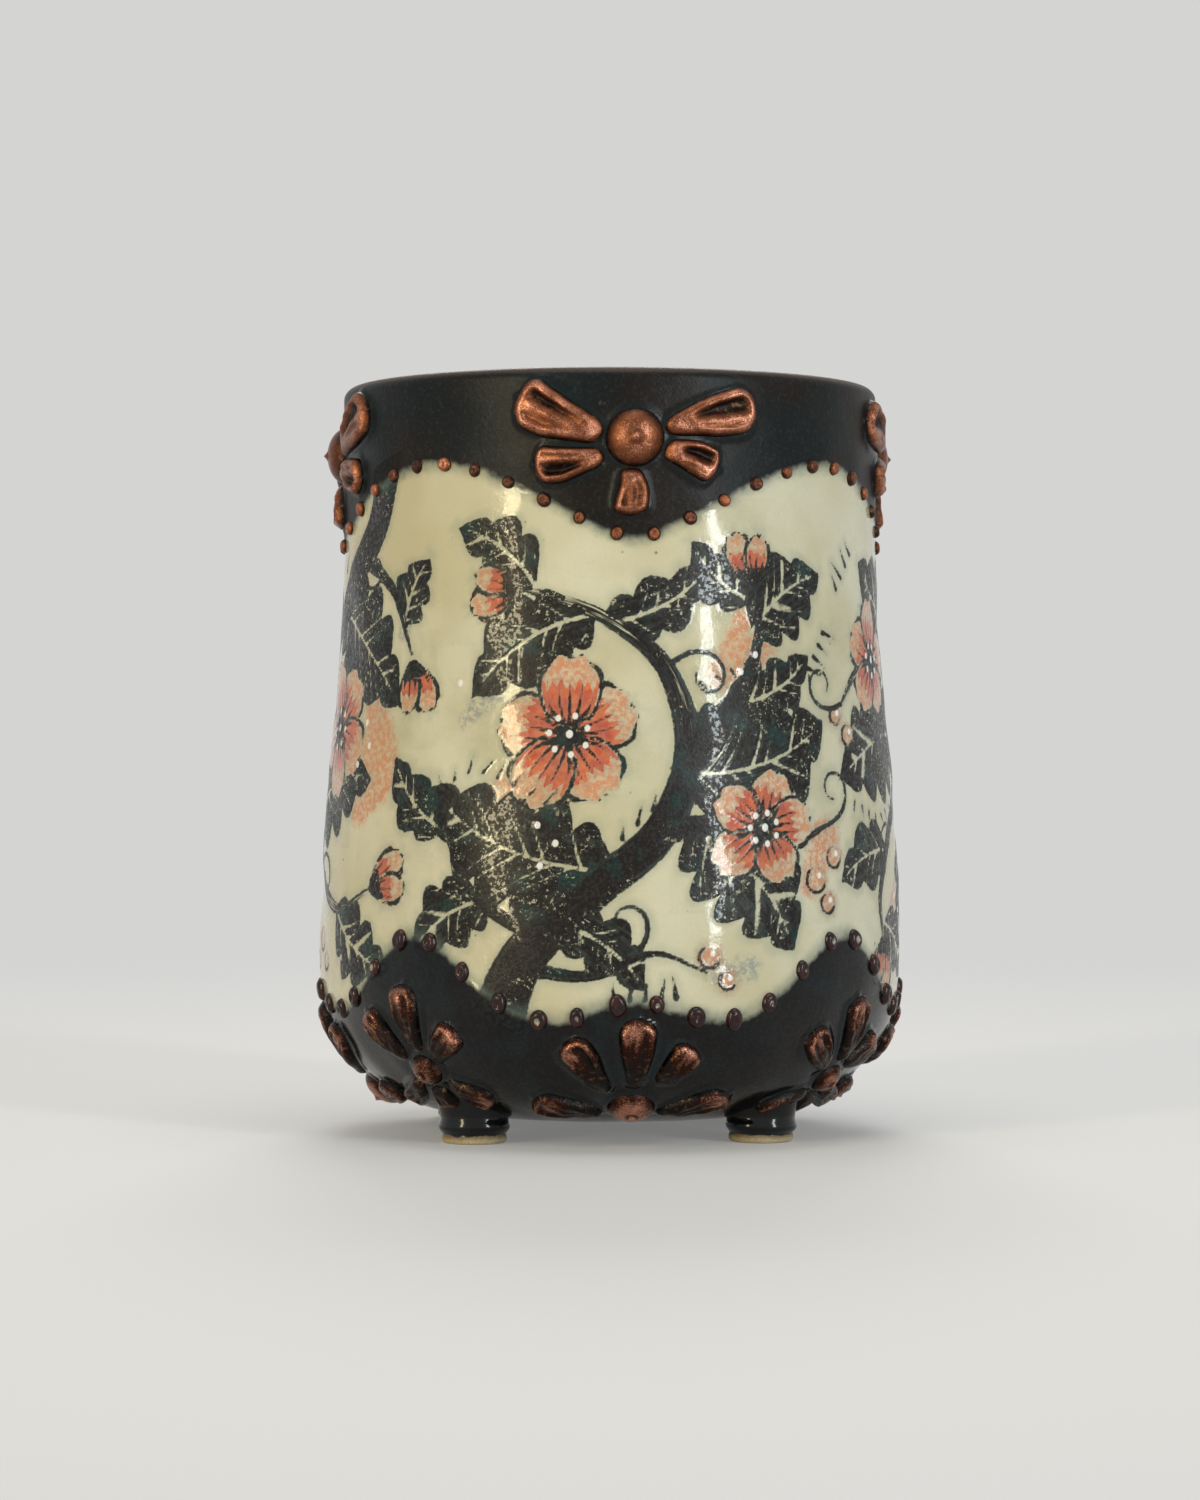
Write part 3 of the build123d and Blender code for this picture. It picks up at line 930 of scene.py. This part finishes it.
def climbing_branch(work, lift):
    """A flowering branch that climbs from the lower band, as brushes with the marks of each, in order."""
    stem = [(-19, 16), (-15, 26), (-6, 35), (3, 43), (7, 54), (4, 65 + lift), (-5, 72 + lift), (-17, 76)]
    return (
        (work.soft, (
            ("wash", [(-12, 37), (-17, 44), (-15, 50)], (5, 9, 5)),
            ("wash", [(12, 64), (18, 70), (21, 77)], (4, 8, 4)), ("wash", [(25, 36), (28, 42)], (4, 6)),
            ("dab", [(-24, 58), (-20, 62)], (2, 4)), ("dab", [(10, 24), (15, 25)], (2, 3.4)),
        )),
        (work.line, (
            (stem, (7.6, 6.2, 5.2, 4.8, 4.0, 2.8, 1.9, 0.7), (0.1, 0.95), 60),
            ([(3, 43), (12, 44), (20, 41), (29, 44)], (3.4, 2.6, 1.7, 0.6), (0.1, 0.9)),
            ([(7, 55), (14, 61), (18, 69), (17, 79)], (3.4, 2.4, 1.6, 0.5), (0.1, 0.9)),
            ([(-12, 29), (-21, 34), (-27, 44)], (2.6, 1.6, 0.5), (0.2, 0.95)),
            ([(-15, 25), (-6, 24), (2, 27), (9, 24.4)], (2.2, 1.5, 0.9, 0.4), (0.1, 0.7)),
        )),
        (work.flicks, (
            ([(-15, 28), (-6, 38), (2, 46)], 2.6, (25, 60), 1, 9, 0.7),
            ([(5, 48), (8, 56), (4, 65 + lift)], 2.4, (25, 60), -1, 8, 0.7),
        )),
        (work.leaf, (
            ((5, 51), (29, 58), 20.5, 5, -0.20, 0.55), ((-4, 38), (-29, 49), 18.1, 5, 0.20, 0.5),
            ((-6, 72 + lift), (-23, 61 + lift), 13.5, 4, -0.22, 0.5),
            ((7, 44), (22, 27), 17.0, 5, 0.18, 0.55), ((-10, 31), (1, 22), 8.8, 3, 0.2, 0.4),
            ((-20, 34), (-31, 27), 10.5, 3, -0.2, 0.4), ((17, 70), (30, 78), 12.9, 4, 0.2, 0.5),
            ((17, 74), (8, 82), 8.2, 3, 0.2, 0.4), ((-14, 76), (-26, 84), 9.9, 3, -0.2, 0.4),
            ((-4, 71 + lift), (11, 79), 9.0, 3, -0.2, 0.4), ((13, 60), (27, 67), 9.5, 4, -0.2, 0.4),
            ((-26, 43), (-36, 53), 9.0, 3, 0.2, 0.4),
        )),
        (work.blossom, (((-9.0, 56), 9.8, 20), ((17.5, 43.5), 7.8, 75))),
        (work.bud, (((17.2, 77), 98), ((-17.4, 75.6), 182))),
        (work.berry, (
            ((26.0, 36.4), 3.4), ((29.6, 39.4), 2.8), ((28.2, 33.2), 2.6), ((9.4, 26.4), 2.8),
            ((11.8, 23.2), 2.3),
        )),
        (work.dots, (
            ([(-13, 44), (-10.6, 41.6), (-12.6, 38.6), (15, 64.5), (17.4, 66.8), (-25, 63)], 0.9),
        )),
        (work.flicks, (
            ([(9, 63), (18, 66), (27, 64)], 2.2, (50, 85), -1, 9),
            ([(-31, 46), (-22, 51), (-12, 47)], 2.4, (50, 85), 1, 10),
        )),
        (work.tendril, (
            ((28, 43.6), 20, 17, 330), ((4, 65 + lift), 35, 18, -320), ((-19, 33), 150, 15, -300),
            ((0, 27), 60, 13, 300),
        )),
        (work.flicks, (
            ([(27, 65), (30, 70)], 2.8, (60, 110), -1, 4, 0.8),
            ([(-3, 20.5), (5, 21.0)], 2.6, (70, 110), 1, 5, 0.8),
        )),
    )


def hanging_branch(work, lift):
    """A flowering branch that hangs from the upper band, as brushes with the marks of each, in order."""
    stem = [(22, 98), (19, 86), (10, 77), (0, 70), (-7, 60), (-6, 48), (1, 38), (12, 32), (22, 35)]
    return (
        (work.soft, (
            ("wash", [(18, 46), (22, 52), (20, 60)], (5, 9, 5)), ("wash", [(-16, 28), (-12, 33)], (4, 6)),
            ("dab", [(-20, 74), (-15, 78)], (2, 4)), ("dab", [(26, 70), (28, 74)], (2, 3)),
        )),
        (work.line, (
            (stem, (7.2, 6.0, 5.4, 4.8, 4.2, 3.4, 2.6, 1.7, 0.6), (0.1, 0.95), 60),
            ([(-5, 63), (-14, 61), (-22, 65), (-29, 60)], (3.2, 2.4, 1.6, 0.6), (0.1, 0.9)),
            ([(-6, 49), (-15, 43), (-20, 34), (-19, 25)], (3.2, 2.3, 1.5, 0.5), (0.1, 0.9)),
            ([(14, 81), (23, 76), (28, 67)], (2.6, 1.6, 0.5), (0.2, 0.95)),
        )),
        (work.flicks, (
            ([(16, 82), (6, 74), (-3, 66)], 2.6, (25, 60), -1, 9, 0.7),
            ([(-7, 56), (-5, 46), (3, 37)], 2.4, (25, 60), -1, 8, 0.7),
        )),
        (work.leaf, (
            ((2, 71), (-21, 80 + lift), 17.0, 5, 0.18, 0.55), ((-7, 56), (-30, 50), 18.7, 5, -0.18, 0.5),
            ((-3, 44), (21, 50), 17.0, 5, 0.22, 0.5), ((4, 74), (26, 62 + lift), 17.5, 5, 0.16, 0.55),
            ((-17, 40), (-31, 36), 10.5, 3, -0.2, 0.4), ((-19, 30), (-8, 22), 9.9, 3, 0.2, 0.4),
            ((12, 32), (26, 24), 11.7, 4, -0.2, 0.5), ((26, 71), (31, 80), 8.2, 3, 0.2, 0.4),
            ((-9, 42), (-4, 27), 9.0, 3, -0.2, 0.4), ((-12, 62), (-20, 50), 8.5, 3, 0.2, 0.4),
        )),
        (work.blossom, (((8.5, 57), 9.6, 50), ((-17.5, 66.5), 7.8, 10))),
        (work.bud, (((-19.4, 27), 260), ((23, 35.4), 20), ((28.4, 65), 285))),
        (work.berry, (
            ((3.5, 27.4), 3.2), ((0.4, 24.4), 2.6), ((6.6, 24.4), 2.5), ((-27.6, 56.0), 2.8),
            ((-30.2, 58.6), 2.3),
        )),
        (work.dots, (
            ([(17, 52), (19.6, 54.6), (18.2, 57.8), (-11, 31.5), (-13.4, 33.6)], 0.9),
        )),
        (work.flicks, (
            ([(-27, 47), (-20, 45), (-12, 47)], 2.2, (50, 85), -1, 8),
            ([(6, 79), (14, 76), (22, 70)], 2.4, (50, 85), 1, 9),
        )),
        (work.tendril, (
            ((-28, 60.5), 200, 16, -320), ((1.5, 38), 30, 15, -320), ((13, 80), -60, 15, 310),
            ((-18, 37), 120, 14, -300),
        )),
        (work.flicks, (
            ([(-28, 76), (-24, 81)], 2.8, (60, 110), 1, 4, 0.8),
            ([(-8, 38), (-4, 33)], 2.6, (60, 100), -1, 4, 0.8),
        )),
    )


# Azimuth, branch, and how far some of its upper marks are lifted
paintings = (
    (5, climbing_branch, 0),
    (95, hanging_branch, 0),
    (185, climbing_branch, 2.5),
    (275, hanging_branch, -2),
)


# Cup
def make_wall(finish):
    """The outer wall in four pieces, one for each side."""
    azimuths = seam_azimuth + np.arange(4 * columns_in_quarter) * 90 / columns_in_quarter
    runs = np.linspace(section.corner_run, section.crown_run, wall_rows)
    radius, heights, _, _ = section.at(runs)
    work = Brushwork(azimuths, heights)
    for azimuth, branch, lift in paintings:
        work.turn_to(azimuth)
        for brush, marks in branch(work, lift):
            for mark in marks:
                brush(*mark)

    grid_azimuth, grid_run = np.meshgrid(azimuths, runs)
    grid_height = np.repeat(heights[:, None], len(azimuths), axis=1)
    upper_depth = grid_height - upper_edge(grid_azimuth)
    lower_depth = lower_edge(grid_azimuth) - grid_height
    for layer in work.depth:
        clear = np.minimum(work.depth[layer], -np.maximum(upper_depth, lower_depth) + 3.0)
        work.depth[layer] = np.clip(clear, -mark_limit, mark_limit)

    # Slip stands a little over the body, most in the dark bands, and fades out before the lip and the corner
    slip = upper_slip * soft_step(upper_depth, -0.4, 0.6) + lower_slip * soft_step(lower_depth, -0.4, 0.6)
    slip += ink_slip * soft_step(work.depth["ink"], -0.3, 0.3)
    slip += dot_slip * soft_step(work.depth["dot"], -0.3, 0.25)
    slip *= 1 - soft_step(grid_run, section.crown_run - 2.4, section.crown_run - 1.2)
    slip *= soft_step(grid_run, section.corner_run, section.corner_run + 4)
    gather = slip_gather(grid_azimuth, grid_run, radius[:, None])
    points = on_wall(grid_azimuth, grid_run, slip + gathered_slip * gather)
    around = (np.roll(points, -1, axis=1) - np.roll(points, 1, axis=1)) / 2
    normals = unit_normals(around, np.gradient(points, axis=0))
    normals[0] = [0, 0, -1]
    normals[-1] = [0, 0, 1]
    points[-1] = round_axis(radius[-1], np.radians(grid_azimuth[-1]), heights[-1])

    values = {
        **work.depth,
        "stroke": work.stroke,
        "dry": work.dry,
        "upper_depth": np.clip(upper_depth, -band_limit, band_limit),
        "lower_depth": np.clip(lower_depth, -band_limit, band_limit),
        "gather": gather,
        "crest": lip_crest(grid_height),
    }
    for number, side in enumerate(("right", "back", "left", "front")):
        start = number * columns_in_quarter
        chosen = np.arange(start, start + columns_in_quarter + 1) % len(azimuths)
        make_piece(
            f"wall_{side}",
            points[:, chosen],
            grid_faces(wall_rows, len(chosen)),
            ["cup_body"],
            finish,
            {label: value[:, chosen] for label, value in values.items()},
            normals[:, chosen],
            bake_layout(wall_rows, len(chosen)),
        )


def lip_crest(level):
    return soft_step(level, cup_height - 1.6, cup_height - 0.1)


def slip_gather(azimuth, run, radius):
    """How much slip has gathered in the corner between the wall and each petal or boss, from 0 to 1."""
    gather = np.zeros(azimuth.shape)
    for _, _, place, height, rows, boss, petal in ornament_places():
        right = np.radians((azimuth - place + 180) % 360 - 180) * radius
        up = run - height
        near = np.hypot(right, up) < boss[0] + 1.6 * petal[0]
        right, up = right[near], up[near]
        beyond = np.hypot(right, up) - boss[0]
        for root, direction, root_share, length_share, width_share, _, _ in rows:
            stations, half = petal_outline(petal[0] * length_share, petal[1] * width_share)
            start = boss[0] * root_share * pointing(root)
            along, left = along_and_left(right, up, start, pointing(direction))
            inside = np.clip(along, stations[0], stations[-1])
            beside = np.abs(left) - np.interp(inside, stations, half)
            gap = np.hypot(np.maximum(beside, 0), along - inside) + np.minimum(beside, 0)
            beyond = np.minimum(beyond, gap)
        gather[near] = np.maximum(gather[near], 1 - soft_step(beyond, -0.1, 1.0))
    return gather


def make_lining(finish):
    """Inside of the cup, from the lip's crown to the middle of the floor."""
    start, end = section.crown_run, section.runs[-1]
    runs = np.linspace(start, end, lining_rows)
    radius, height, across, rise = section.at(runs)
    turn, run = np.meshgrid(np.radians(np.linspace(0, 360, lining_columns + 1)), runs)
    rings = inner_ring_depth * np.sin(run * 1.3 + 0.9 * np.sin(turn))
    rings *= soft_step(run, start + 4, start + 14) * (1 - soft_step(run, end - 12, end - 2))
    reach = radius[:, None] + across[:, None] * rings
    reach[-1] = lining_eye
    level = height[:, None] + rise[:, None] * rings
    points = round_axis(reach, turn, level)
    around = np.gradient(points, axis=1)
    around[:, 0] = around[:, -1] = points[:, 1] - points[:, -2]
    normals = unit_normals(around, np.gradient(points, axis=0))
    normals[0] = normals[-1] = [0, 0, 1]
    first_wave, second_wave = lining_edge_waves
    waves = first_wave * np.sin(turn * 2 + 0.5) + second_wave * np.sin(turn * 5 + 1)
    depth = level - (cup_height - lining_edge_drop - waves)
    make_piece(
        "cup_lining",
        points,
        grid_faces(lining_rows, lining_columns + 1),
        ["cup_body"],
        finish,
        {"upper_depth": np.clip(depth, -band_limit, band_limit), "crest": lip_crest(level)},
        normals,
        bake_layout(lining_rows, lining_columns + 1, True),
    )


def make_underside(finish):
    """Flat bottom inside the ring of feet, a little hollow."""
    rings = np.linspace(0, 1, underside_rings + 1)[1:] * section.corner_run
    turn = np.radians(np.arange(underside_columns) * 360 / underside_columns)
    radius, angle = np.meshgrid(rings, turn, indexing="ij")
    dip = underside_dip * np.cos(radius / section.corner_run * np.pi / 2)
    points = round_axis(radius, angle, underside_height + dip).reshape(-1, 3)
    points = np.vstack([points, [0, 0, underside_height + underside_dip]])
    faces = grid_faces(underside_rings, underside_columns, True)
    faces += fan_faces(len(points) - 1, underside_columns)
    make_piece("cup_underside", points, faces, ["cup_body"], finish)


# Ornaments
def petal_outline(length, width):
    """Stations along a petal and its half width at each, closed at both ends."""
    share = 1.02 - 1.08 * (1 + np.cos(np.linspace(0, np.pi, petal_stations))) / 2
    table = np.array(petal_widths)
    fine = np.linspace(-0.1, 1.1, 241)
    blunt = 0.6 * np.clip(1.9 - length / width, 0, 1)
    grown = np.interp(fine, table[:, 0], table[:, 1]) * (1 - blunt) + 0.9 * blunt
    grown = np.convolve(np.pad(grown, 12, "edge"), np.ones(25) / 25, "valid")
    half = width / 2 * np.interp(share, fine, grown)
    tip = np.clip((share - 0.80) / 0.22, 0, 1)
    root = np.clip((0.10 - share) / 0.16, 0, 1)
    half = half * np.sqrt(np.clip(1 - tip**2.2, 0, 1)) * np.sqrt(np.clip(1 - root**2.4, 0, 1))
    return share * length, np.maximum(half, 0.03)


def petal_relief(along, left, half, inwards, size, tongue_place, depth, phases):
    """Height of a petal over the wall, and its crest value, with painted highlight on the rims and painted
    shade in the hollow and at the root, from its plan.

    The plan has places along the petal and to its left, the half width at each station, and the distance
    in from the outline, which gives the rounded edge all round.
    """
    length, width, thickness, root_shade = size
    share = np.clip(along / length, 0, 1)
    shoulder = min(0.24 * width, 1.3)
    rounding = np.sqrt(np.clip(1 - (1 - np.clip(inwards / shoulder, 0, 1)) ** 2, 0, 1))
    table = np.array(petal_heights)
    body = np.interp(along / length, table[:, 0], table[:, 1]) * rounding

    # A hollow with a tongue in it, or with a furrow where the tongue lies in the middle
    hollow = soft_step(inwards, 0.15 * width, 0.31 * width) * soft_step(share, 0.12, 0.40)
    middle = (tongue_place + 0.10 * np.sin(3 * share + phases[5]) * share) * half[:, None] * 1.3
    tongue_width = (tongue_width_share + 0.22 * abs(tongue_place)) * width
    tongue = np.exp(-(np.abs((left - middle) / tongue_width) ** 2.6)) * (1 - soft_step(share, 0.84, 0.99))
    dip = hollow * (1 - 0.88 * tongue)
    split = np.clip(1 - abs(tongue_place) / 0.08, 0, 1)
    furrow_width = (furrow_width_share + 0.03 * split) * width
    furrow = np.exp(-(((left - middle * 1.5) / furrow_width) ** 2)) * soft_step(share, 0.25, 0.5)
    furrow *= 1 - soft_step(share, 0.70, 0.88)

    lumps = lump_depths[0] * np.sin(along * 1.1 + phases[2]) * np.sin(left * 1.5 + phases[3])
    lumps = lumps + lump_depths[1] * np.sin(along * 2.3 + left * 1.7 + phases[4])
    streaks = streak_depth * np.sin(left * 8 + phases[4] + 0.6 * np.sin(along)) * hollow
    pressed = hollow_depth * depth * dip + (furrow_depth + middle_furrow_depth * split) * furrow
    height = thickness * (body - pressed)
    height = np.maximum(height + (lumps + streaks) * rounding, 0.04 * rounding)
    # Crest: painted highlight on the rims and the tongue, painted shade in the hollow, the furrow, the edges
    # and the root
    crest = 0.12 + 0.80 * rounding - 1.25 * dip * depth + 0.12 * tongue * hollow
    crest = crest - (0.30 + 0.4 * split) * furrow
    crest = crest - 0.30 * (1 - soft_step(inwards, 0.0, 0.45))
    crest = crest - root_shade * (1 - soft_step(share, 0.25, 0.85))
    return height, crest


def make_petal(azimuth, run, boss_radius, row, size, random):
    """One pressed petal: a rounded slug with a hollow and a tongue in it, bent to the wall."""
    root_direction, direction, root_share, length_share, width_share, tongue_place, depth = row
    length, width = size[0] * length_share, size[1] * width_share
    stations, half = petal_outline(length, width)
    phases = random.uniform(*phase_span, 6)
    across_share = np.sin(np.linspace(-np.pi / 2, np.pi / 2, petal_columns))
    wave = 1 + 0.05 * np.sin(stations[:, None] / length * 6 + phases[0] + 1.3 * across_share)
    along = np.repeat(stations[:, None], petal_columns, axis=1)
    left = half[:, None] * wave * across_share
    left = left + 0.05 * width * np.sin(along / length * 3.0 + phases[1])
    edge_along = np.r_[stations, stations]
    edge_left = np.r_[left[:, 0], left[:, -1]]
    gaps = np.hypot(along.ravel()[:, None] - edge_along, left.ravel()[:, None] - edge_left)
    inwards = gaps.min(axis=1).reshape(along.shape)
    size = (length, width, *size[2:])
    height, crest = petal_relief(along, left, half, inwards, size, tongue_place, depth, phases)

    # The underside runs back below the wall's surface, so that the petal is closed
    back_share = np.array([1, 2 / 3, 1 / 3, 0])
    back = left[:, :1] + (left[:, -1:] - left[:, :1]) * back_share
    along = np.hstack([along, along[:, : len(back_share)]])
    left = np.hstack([left, back])
    height = np.hstack([height, np.full(back.shape, -petal_root_depth)])
    crest = np.hstack([crest, np.zeros(back.shape)])

    root = boss_radius * root_share * pointing(root_direction)
    ahead = pointing(direction)
    right = root[0] + along * ahead[0] - left * ahead[1]
    up = root[1] + along * ahead[1] + left * ahead[0]
    points = on_wall(azimuth, run, height, right, up)
    rows, ring = along.shape
    faces = turned_over(grid_faces(rows, ring, True) + [row_face(rows - 1, ring)])
    faces.append(row_face(0, ring))
    return points.reshape(-1, 3), faces, {"crest": crest.ravel()}


def make_dome(azimuth, run, rings, columns, random, wobble, tall=1.0):
    """A revolved lump on the wall from (radius, height, crest) rings, from its middle outwards."""
    rings = np.asarray(rings, float)
    turn = np.arange(columns) * 2 * np.pi / columns
    phases = random.uniform(*phase_span, 3)
    out = 1 + wobble * np.sin(turn + phases[0]) + wobble * 0.7 * np.sin(2 * turn + phases[1])
    radius = rings[1:, :1] * out
    height = rings[1:, 1:2] * (1 + wobble * 0.8 * np.sin(turn + phases[2]) * (radius / rings[:, 0].max()))
    points = on_wall(azimuth, run, height, radius * np.cos(turn) / tall, radius * np.sin(turn) * tall)
    points = np.vstack([points.reshape(-1, 3), on_wall(azimuth, run, rings[0, 1])])
    faces = grid_faces(len(rings) - 1, columns, True) + fan_faces(len(points) - 1, columns)
    faces.append(row_face(len(rings) - 2, columns))
    return points, turned_over(faces), np.r_[np.repeat(rings[1:, 2], columns), rings[0, 2]]


def boss_rings(radius, height, brightness):
    """A pressed dome with a blunt nipple, and a stub that goes into the wall."""
    share = np.sin(np.linspace(0, np.pi / 2, boss_ring_count))
    dome = (1 - share**2.3) ** 0.60
    nipple = nipple_share * np.exp(-((share / 0.105) ** 1.5))
    # Crest: painted shade towards the edge and in a dark ring round the nipple, a painted highlight on its
    # tip
    nipple_shadow = 0.40 * np.exp(-(((share - 0.20) / 0.07) ** 2))
    nipple_highlight = 0.15 * np.exp(-((share / 0.1) ** 2))
    crest = brightness - 0.85 * share**4 - nipple_shadow + nipple_highlight
    rings = np.column_stack([share * radius, (dome + nipple) * height, crest])
    return np.vstack([rings, (radius, -boss_root_depth, 0)])


def bead_rings(radius, height, crater, pooled):
    """A trailed dot whose middle sank as it dried, marked where a pool lies, or else with painted shade
    towards its edge and in its sunk middle.
    """
    share = np.sin(np.linspace(0, np.pi / 2, bead_ring_count))
    dome = (1 - share**3) ** 0.55
    dip = crater * np.exp(-((share / 0.36) ** 2.5))
    # Without a pool the mark is painted shade towards the edge and in the sunk middle, lighter on the crown
    mark = np.exp(-((share / 0.46) ** 4)) if pooled else 0.86 - 0.75 * share**5 - 0.5 * dip
    rings = np.column_stack([share * radius, (dome - dip) * height, mark])
    return np.vstack([rings, (radius, -bead_root_depth, 0)])


def mirrored_row(row):
    root_direction, direction, root, length, width, tongue, depth = row
    return 180 - root_direction, 180 - direction, root, length, width, -tongue, depth


def ornament_places():
    """Kind, place, azimuth, run, petals, boss and petal size of each ornament."""
    rosette_run = section.run_at_height(cup_height - rosette_drop)
    fan_run = section.corner_run + fan_lift
    places = []
    for side, turn in sides.items():
        for kind, azimuth, run, rows, boss, petal in (
            ("rosette", rosette_azimuth, rosette_run, rosette_petals, rosette_boss, rosette_petal),
            ("fan", fan_azimuth, fan_run, fan_petals, fan_boss, fan_petal),
        ):
            turned = rows if turn % 180 == 0 else [mirrored_row(row) for row in rows]
            places.append((kind, side, azimuth + turn, run, turned, boss, petal))
    for corner, turn in corners.items():
        shifted = turn % 180 == 0
        azimuth = flower_azimuth + turn + shifted * flower_azimuth_step
        run = flower_runs[shifted]
        places.append(("flower", corner, azimuth, run, flower_petals, flower_boss, flower_petal))
    return places


def make_ornaments(upper_finish, lower_finish):
    random = np.random.default_rng(seeds["ornaments"])
    for kind, place, azimuth, run, rows, boss, petal in ornament_places():
        finish = upper_finish if kind == "rosette" else lower_finish
        petals = joined([make_petal(azimuth, run, boss[0], row, petal, random) for row in rows])
        *dome, crest = make_dome(azimuth, run, boss_rings(*boss), boss_columns, random, boss_wobble)
        for part, (points, faces, values) in (("petals", petals), ("boss", (*dome, {"crest": crest}))):
            node = f"{kind}_{part}_{place}"
            make_piece(f"lustre_{node}", points, faces, [node], finish, values)


def make_beads(upper_finish, lower_finish):
    """Rows of trailed dots.

    Of each kind: edge, size, how far the crown sinks, slot (not used), finish, the value that marks
    the crown, how uneven that is from bead to bead, and how much taller than wide the beads are.
    """
    random = np.random.default_rng(seeds["beads"])
    kinds = (
        ("upper_beads", upper_edge, upper_bead, 0.28, "copper_lustre", upper_finish, "crest", 1.6, 1.0),
        ("lower_beads", lower_edge, lower_bead, 0.42, "dark_lustre", lower_finish, "crater", 3.0, 1.12),
    )
    for kind, edge, size, crater, slot, finish, label, uneven, tall in kinds:
        for corner, turn in corners.items():
            parts = []
            for number in range(beads_in_quarter):
                azimuth = rosette_azimuth + turn + 90 * (number + 0.5) / beads_in_quarter
                run = section.run_at_height(edge(azimuth))
                scale = random.uniform(*bead_scales)
                depth = crater * random.uniform(*bead_sinks)
                rings = bead_rings(size[0] * scale, size[1] * scale, depth, label == "crater")
                points, faces, value = make_dome(azimuth, run, rings, bead_columns, random, bead_wobble, tall)
                parts.append((points, faces, {label: value + random.uniform(*bead_rubs) * uneven}))
            points, faces, values = joined(parts)
            node = f"{kind}_{corner}"
            make_piece(f"trailed_{node}", points, faces, [node], finish, values)


def make_feet(finish):
    random = np.random.default_rng(seeds["feet"])
    turn = np.arange(foot_columns) * 2 * np.pi / foot_columns
    outline = smooth_path(foot_outline, foot_rows)
    level = outline[:, 1:]
    for corner, place in corners.items():
        phases = random.uniform(*phase_span, 3)
        out = 1 + foot_wobbles[0] * np.sin(turn + phases[0]) + foot_wobbles[1] * np.sin(2 * turn + phases[1])
        lean = foot_lean * np.sin(turn + phases[2]) * soft_step(level, 0.5, 2.0)
        reach = outline[:, :1] * out
        azimuth = math.radians(foot_azimuth + place)
        x = foot_circle_radius * math.sin(azimuth) + reach * np.cos(turn)
        y = -foot_circle_radius * math.cos(azimuth) + reach * np.sin(turn)
        z = np.clip(level, 0, foot_outline[-1][1]) + np.where(level < 6, lean, 0)
        faces = grid_faces(len(outline), foot_columns, True) + [row_face(len(outline) - 1, foot_columns)]
        faces += turned_over([row_face(0, foot_columns)])
        node = f"foot_{corner}"
        make_piece(f"button_{node}", np.stack([x, y, z], axis=-1), faces, [node], finish)


# Studio
def place_in_scene(name, data, place, turns):
    thing = bpy.data.objects.new(name, data)
    thing.location = place
    thing.rotation_euler = turns
    bpy.context.scene.collection.objects.link(thing)
    return thing


def make_studio():
    scene = bpy.context.scene
    scene.view_settings.view_transform = "Standard"
    eye = bpy.data.cameras.new("camera")
    eye.lens = camera_lens
    eye.sensor_width = 36
    eye.clip_end = 50
    scene.camera = place_in_scene("camera", eye, camera_place, (math.pi / 2, 0, 0))

    # Azimuth, distance, height, tilt, size, power and tint
    lamps = {
        "strip_left": (-42, 0.95, 0.29, 0, (0.12, 0.60), 4.2, (1.0, 0.85, 0.52)),
        "strip_right": (42, 0.95, 0.29, 0, (0.12, 0.60), 4.4, (0.92, 0.98, 1.0)),
        "overhead": (0, 0.15, 1.25, 83, (0.8, 0.8), 4.2, (1.0, 1.0, 1.0)),
        "fill_behind": (180, 0.95, 0.85, 40, (0.5, 0.5), 4.5, (1.0, 0.99, 0.97)),
    }
    for name, (azimuth, distance, height, tilt, size, power, tint) in lamps.items():
        lamp = bpy.data.lights.new(name, "AREA")
        lamp.shape = "RECTANGLE"
        lamp.size, lamp.size_y = size
        lamp.energy = power
        lamp.color = tint
        turn = math.radians(azimuth)
        place = (distance * math.sin(turn), -distance * math.cos(turn), height)
        place_in_scene(name, lamp, place, (math.radians(90 - tilt), 0, turn))

    # The walls of the studio shine less on the cup than they look to the camera
    world = bpy.data.worlds.new("studio")
    scene.world = world
    world.use_nodes = True
    walls = Nodes(world.node_tree)
    background = walls.tree.nodes["Background"].inputs
    walls.feed(background["Color"], studio_grey)
    strength = walls.node("ShaderNodeMapRange", {}, {0: walls.looked_at(), "To Min": wall_shine})
    walls.feed(background["Strength"], strength)

    # The floor turns into the same grey far off, so that no horizon shows
    floor_mesh = bpy.data.meshes.new("floor")
    floor_corners = [(x * floor_reach, y * floor_reach, 0) for x, y in ((-1, -1), (1, -1), (1, 1), (-1, 1))]
    floor_mesh.from_pydata(floor_corners, [], [(0, 1, 2, 3)])
    floor = place_in_scene("floor", floor_mesh, (0, 0, 0), (0, 0, 0))
    paint = Finish("pale_floor", Roughness=0.7, Base_Color=floor_colour)
    floor_mesh.materials.append(paint.material)
    glow = paint.node("ShaderNodeEmission", {}, {"Color": studio_grey})
    distance = paint.vectors("LENGTH", {0: paint.place}, "Value")
    faded = distance.rises(fade_from, fade_to)
    far = (floor_glow + faded * (1 - floor_glow)) * paint.looked_at()
    near_surface = Signal(paint, paint.surface.outputs[0])
    blend = paint.node("ShaderNodeMixShader", {}, {0: far, 1: near_surface, 2: glow})
    paint.feed(paint.tree.nodes["Material Output"].inputs["Surface"], blend)


make_studio()
make_wall(painted_glaze())
make_lining(lining_glaze())
make_underside(dark_glaze("underside_glaze", underside_sole_line))
make_feet(dark_glaze("foot_glaze", foot_sole_line))
copper, deep_copper, bead_copper = (copper_lustre(name, *looks) for name, looks in coppers.items())
make_ornaments(copper, deep_copper)
make_beads(bead_copper, dark_lustre())
